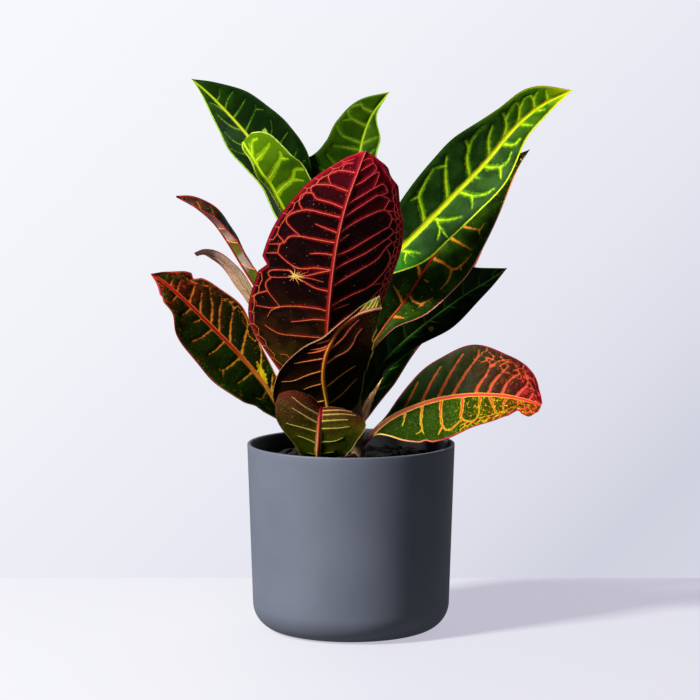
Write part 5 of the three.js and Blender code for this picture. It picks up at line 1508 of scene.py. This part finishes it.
def add_stem():
    """Woody stem with rings and scars where leaves grew, and a small bud at its top."""
    section = smooth(np.array(STEM_LINE, float), np.linspace(0, 1, STEM_ROWS))
    x, y, z, plain = np.hsplit(section, 4)
    angle = angles_round(STEM_SIDES)
    radius = plain
    for rise, count, turn in BARK_RIDGES:
        radius = radius + rise * np.sin(count * angle + z * turn)
    for height in np.arange(*RING_HEIGHTS):
        from_ring = z - height - RING_TILT * np.sin(angle + height)
        radius = radius + RING_RISE * np.exp(-(from_ring / RING_WIDTH) ** 2)
    scar_rise, scar_spread, scar_height = SCAR
    for leaf in LEAVES.values():
        joint = leaf["joint"]
        centre = stem_at(joint)
        towards = math.atan2(leaf["stalk"][0][1] - centre[1], leaf["stalk"][0][0] - centre[0])
        facing = np.exp(-(np.angle(np.exp(1j * (angle - towards))) / scar_spread) ** 2)
        radius = radius + scar_rise * facing * np.exp(-((z - joint) / scar_height) ** 2)
    fade = np.clip((STEM_TOP - z) / BUD_LENGTH, 0, 1)
    points = ring_points(plain + (radius - plain) * fade, z, STEM_SIDES, x, y)
    mesh = MeshParts()
    mesh.add(points, grid_faces(STEM_ROWS, STEM_SIDES, flip=True, wrap=True))
    piece = mesh.make("stem_bark", [stem_material()])
    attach(piece, "root")
    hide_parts("stem")


def table_material():
    """Pale top that shows the camera another brightness than it casts on the object."""
    s = new_shader("table_top")
    tint = s.mix(s.step(s.axis("X"), *TABLE_GLOW_SPAN), srgb(*TABLE_GLOW_LEFT), srgb(*TABLE_GLOW_RIGHT))
    glow = s.math("MAXIMUM", s.camera_ray(), TABLE_GLOW_ON_OBJECT)
    return s.surface({
        "Base Color": srgb(*TABLE_COLOUR), "Roughness": 0.8, "Specular IOR Level": 0.2,
        "Emission Color": tint, "Emission Strength": glow,
    })


def add_stage():
    """Table top that ends a little way behind the pot."""
    reach, depth, edge = TABLE_REACH, TABLE_DEPTH, TABLE_EDGE
    corners = [
        (-reach, -reach, 0), (reach, -reach, 0), (reach, edge, 0), (-reach, edge, 0),
        (reach, edge, -depth), (-reach, edge, -depth),
    ]
    mesh = bpy.data.meshes.new("table_top")
    mesh.from_pydata(corners, [], [(0, 1, 2, 3), (3, 2, 4, 5)])
    mesh.materials.append(table_material())
    piece = add_object("table_top", mesh)


def add_lights():
    """Soft key from the left front, and weak fills."""
    for name, place, target, size, power, colour in LIGHTS:
        lamp = bpy.data.lights.new(name, "AREA")
        lamp.size = size
        lamp.energy = power
        lamp.color = colour
        holder = add_object(name, lamp)
        holder.location = place
        holder.rotation_euler = (Vector(target) - Vector(place)).to_track_quat("-Z", "Y").to_euler()


def add_studio():
    """World that is pale behind and above, with a backdrop that only the camera sees."""
    world = bpy.data.worlds.new("studio")
    s = Shader(world, "Generated")
    height = s.axis("Z")
    behind = s.step(s.axis("Y"), *STUDIO_BACK)
    above = s.step(height, *STUDIO_TOP)
    strength = s.math("ADD", s.math("ADD", behind, above), STUDIO_FRONT)
    light = s.add("ShaderNodeBackground", {"Color": STUDIO_COLOUR, "Strength": strength})
    # The backdrop's colour is painted light and shade: lighter to the upper left, darker to the lower right
    # with a painted shadow there.
    slope = s.math("SUBTRACT", height, s.axis("X"))
    shade = s.step(slope, *BACKDROP_SPAN, kind="LINEAR")
    backdrop = s.add("ShaderNodeBackground", {"Color": s.ramp(shade, BACKDROP, 1.0), "Strength": 1.0})
    mixed = s.add("ShaderNodeMixShader", {0: s.camera_ray(), 1: light.outputs[0], 2: backdrop.outputs[0]})
    s.add("ShaderNodeOutputWorld", {"Surface": mixed.outputs[0]})
    bpy.context.scene.world = world


def add_camera():
    camera = bpy.data.cameras.new("camera")
    camera.lens = CAMERA_LENS
    camera.sensor_width = SENSOR
    camera.sensor_fit = "HORIZONTAL"
    holder = add_object("camera", camera)
    holder.location = Vector(CAMERA_PLACE) * MM
    holder.rotation_euler = (math.radians(90 - CAMERA_TILT), 0, 0)
    bpy.context.scene.camera = holder
    bpy.context.scene.view_settings.view_transform = "Standard"


add_camera()
add_lights()
add_studio()
add_stage()
add_pot()
add_soil()
add_stem()
add_leaves()

bpy.context.view_layer.update()
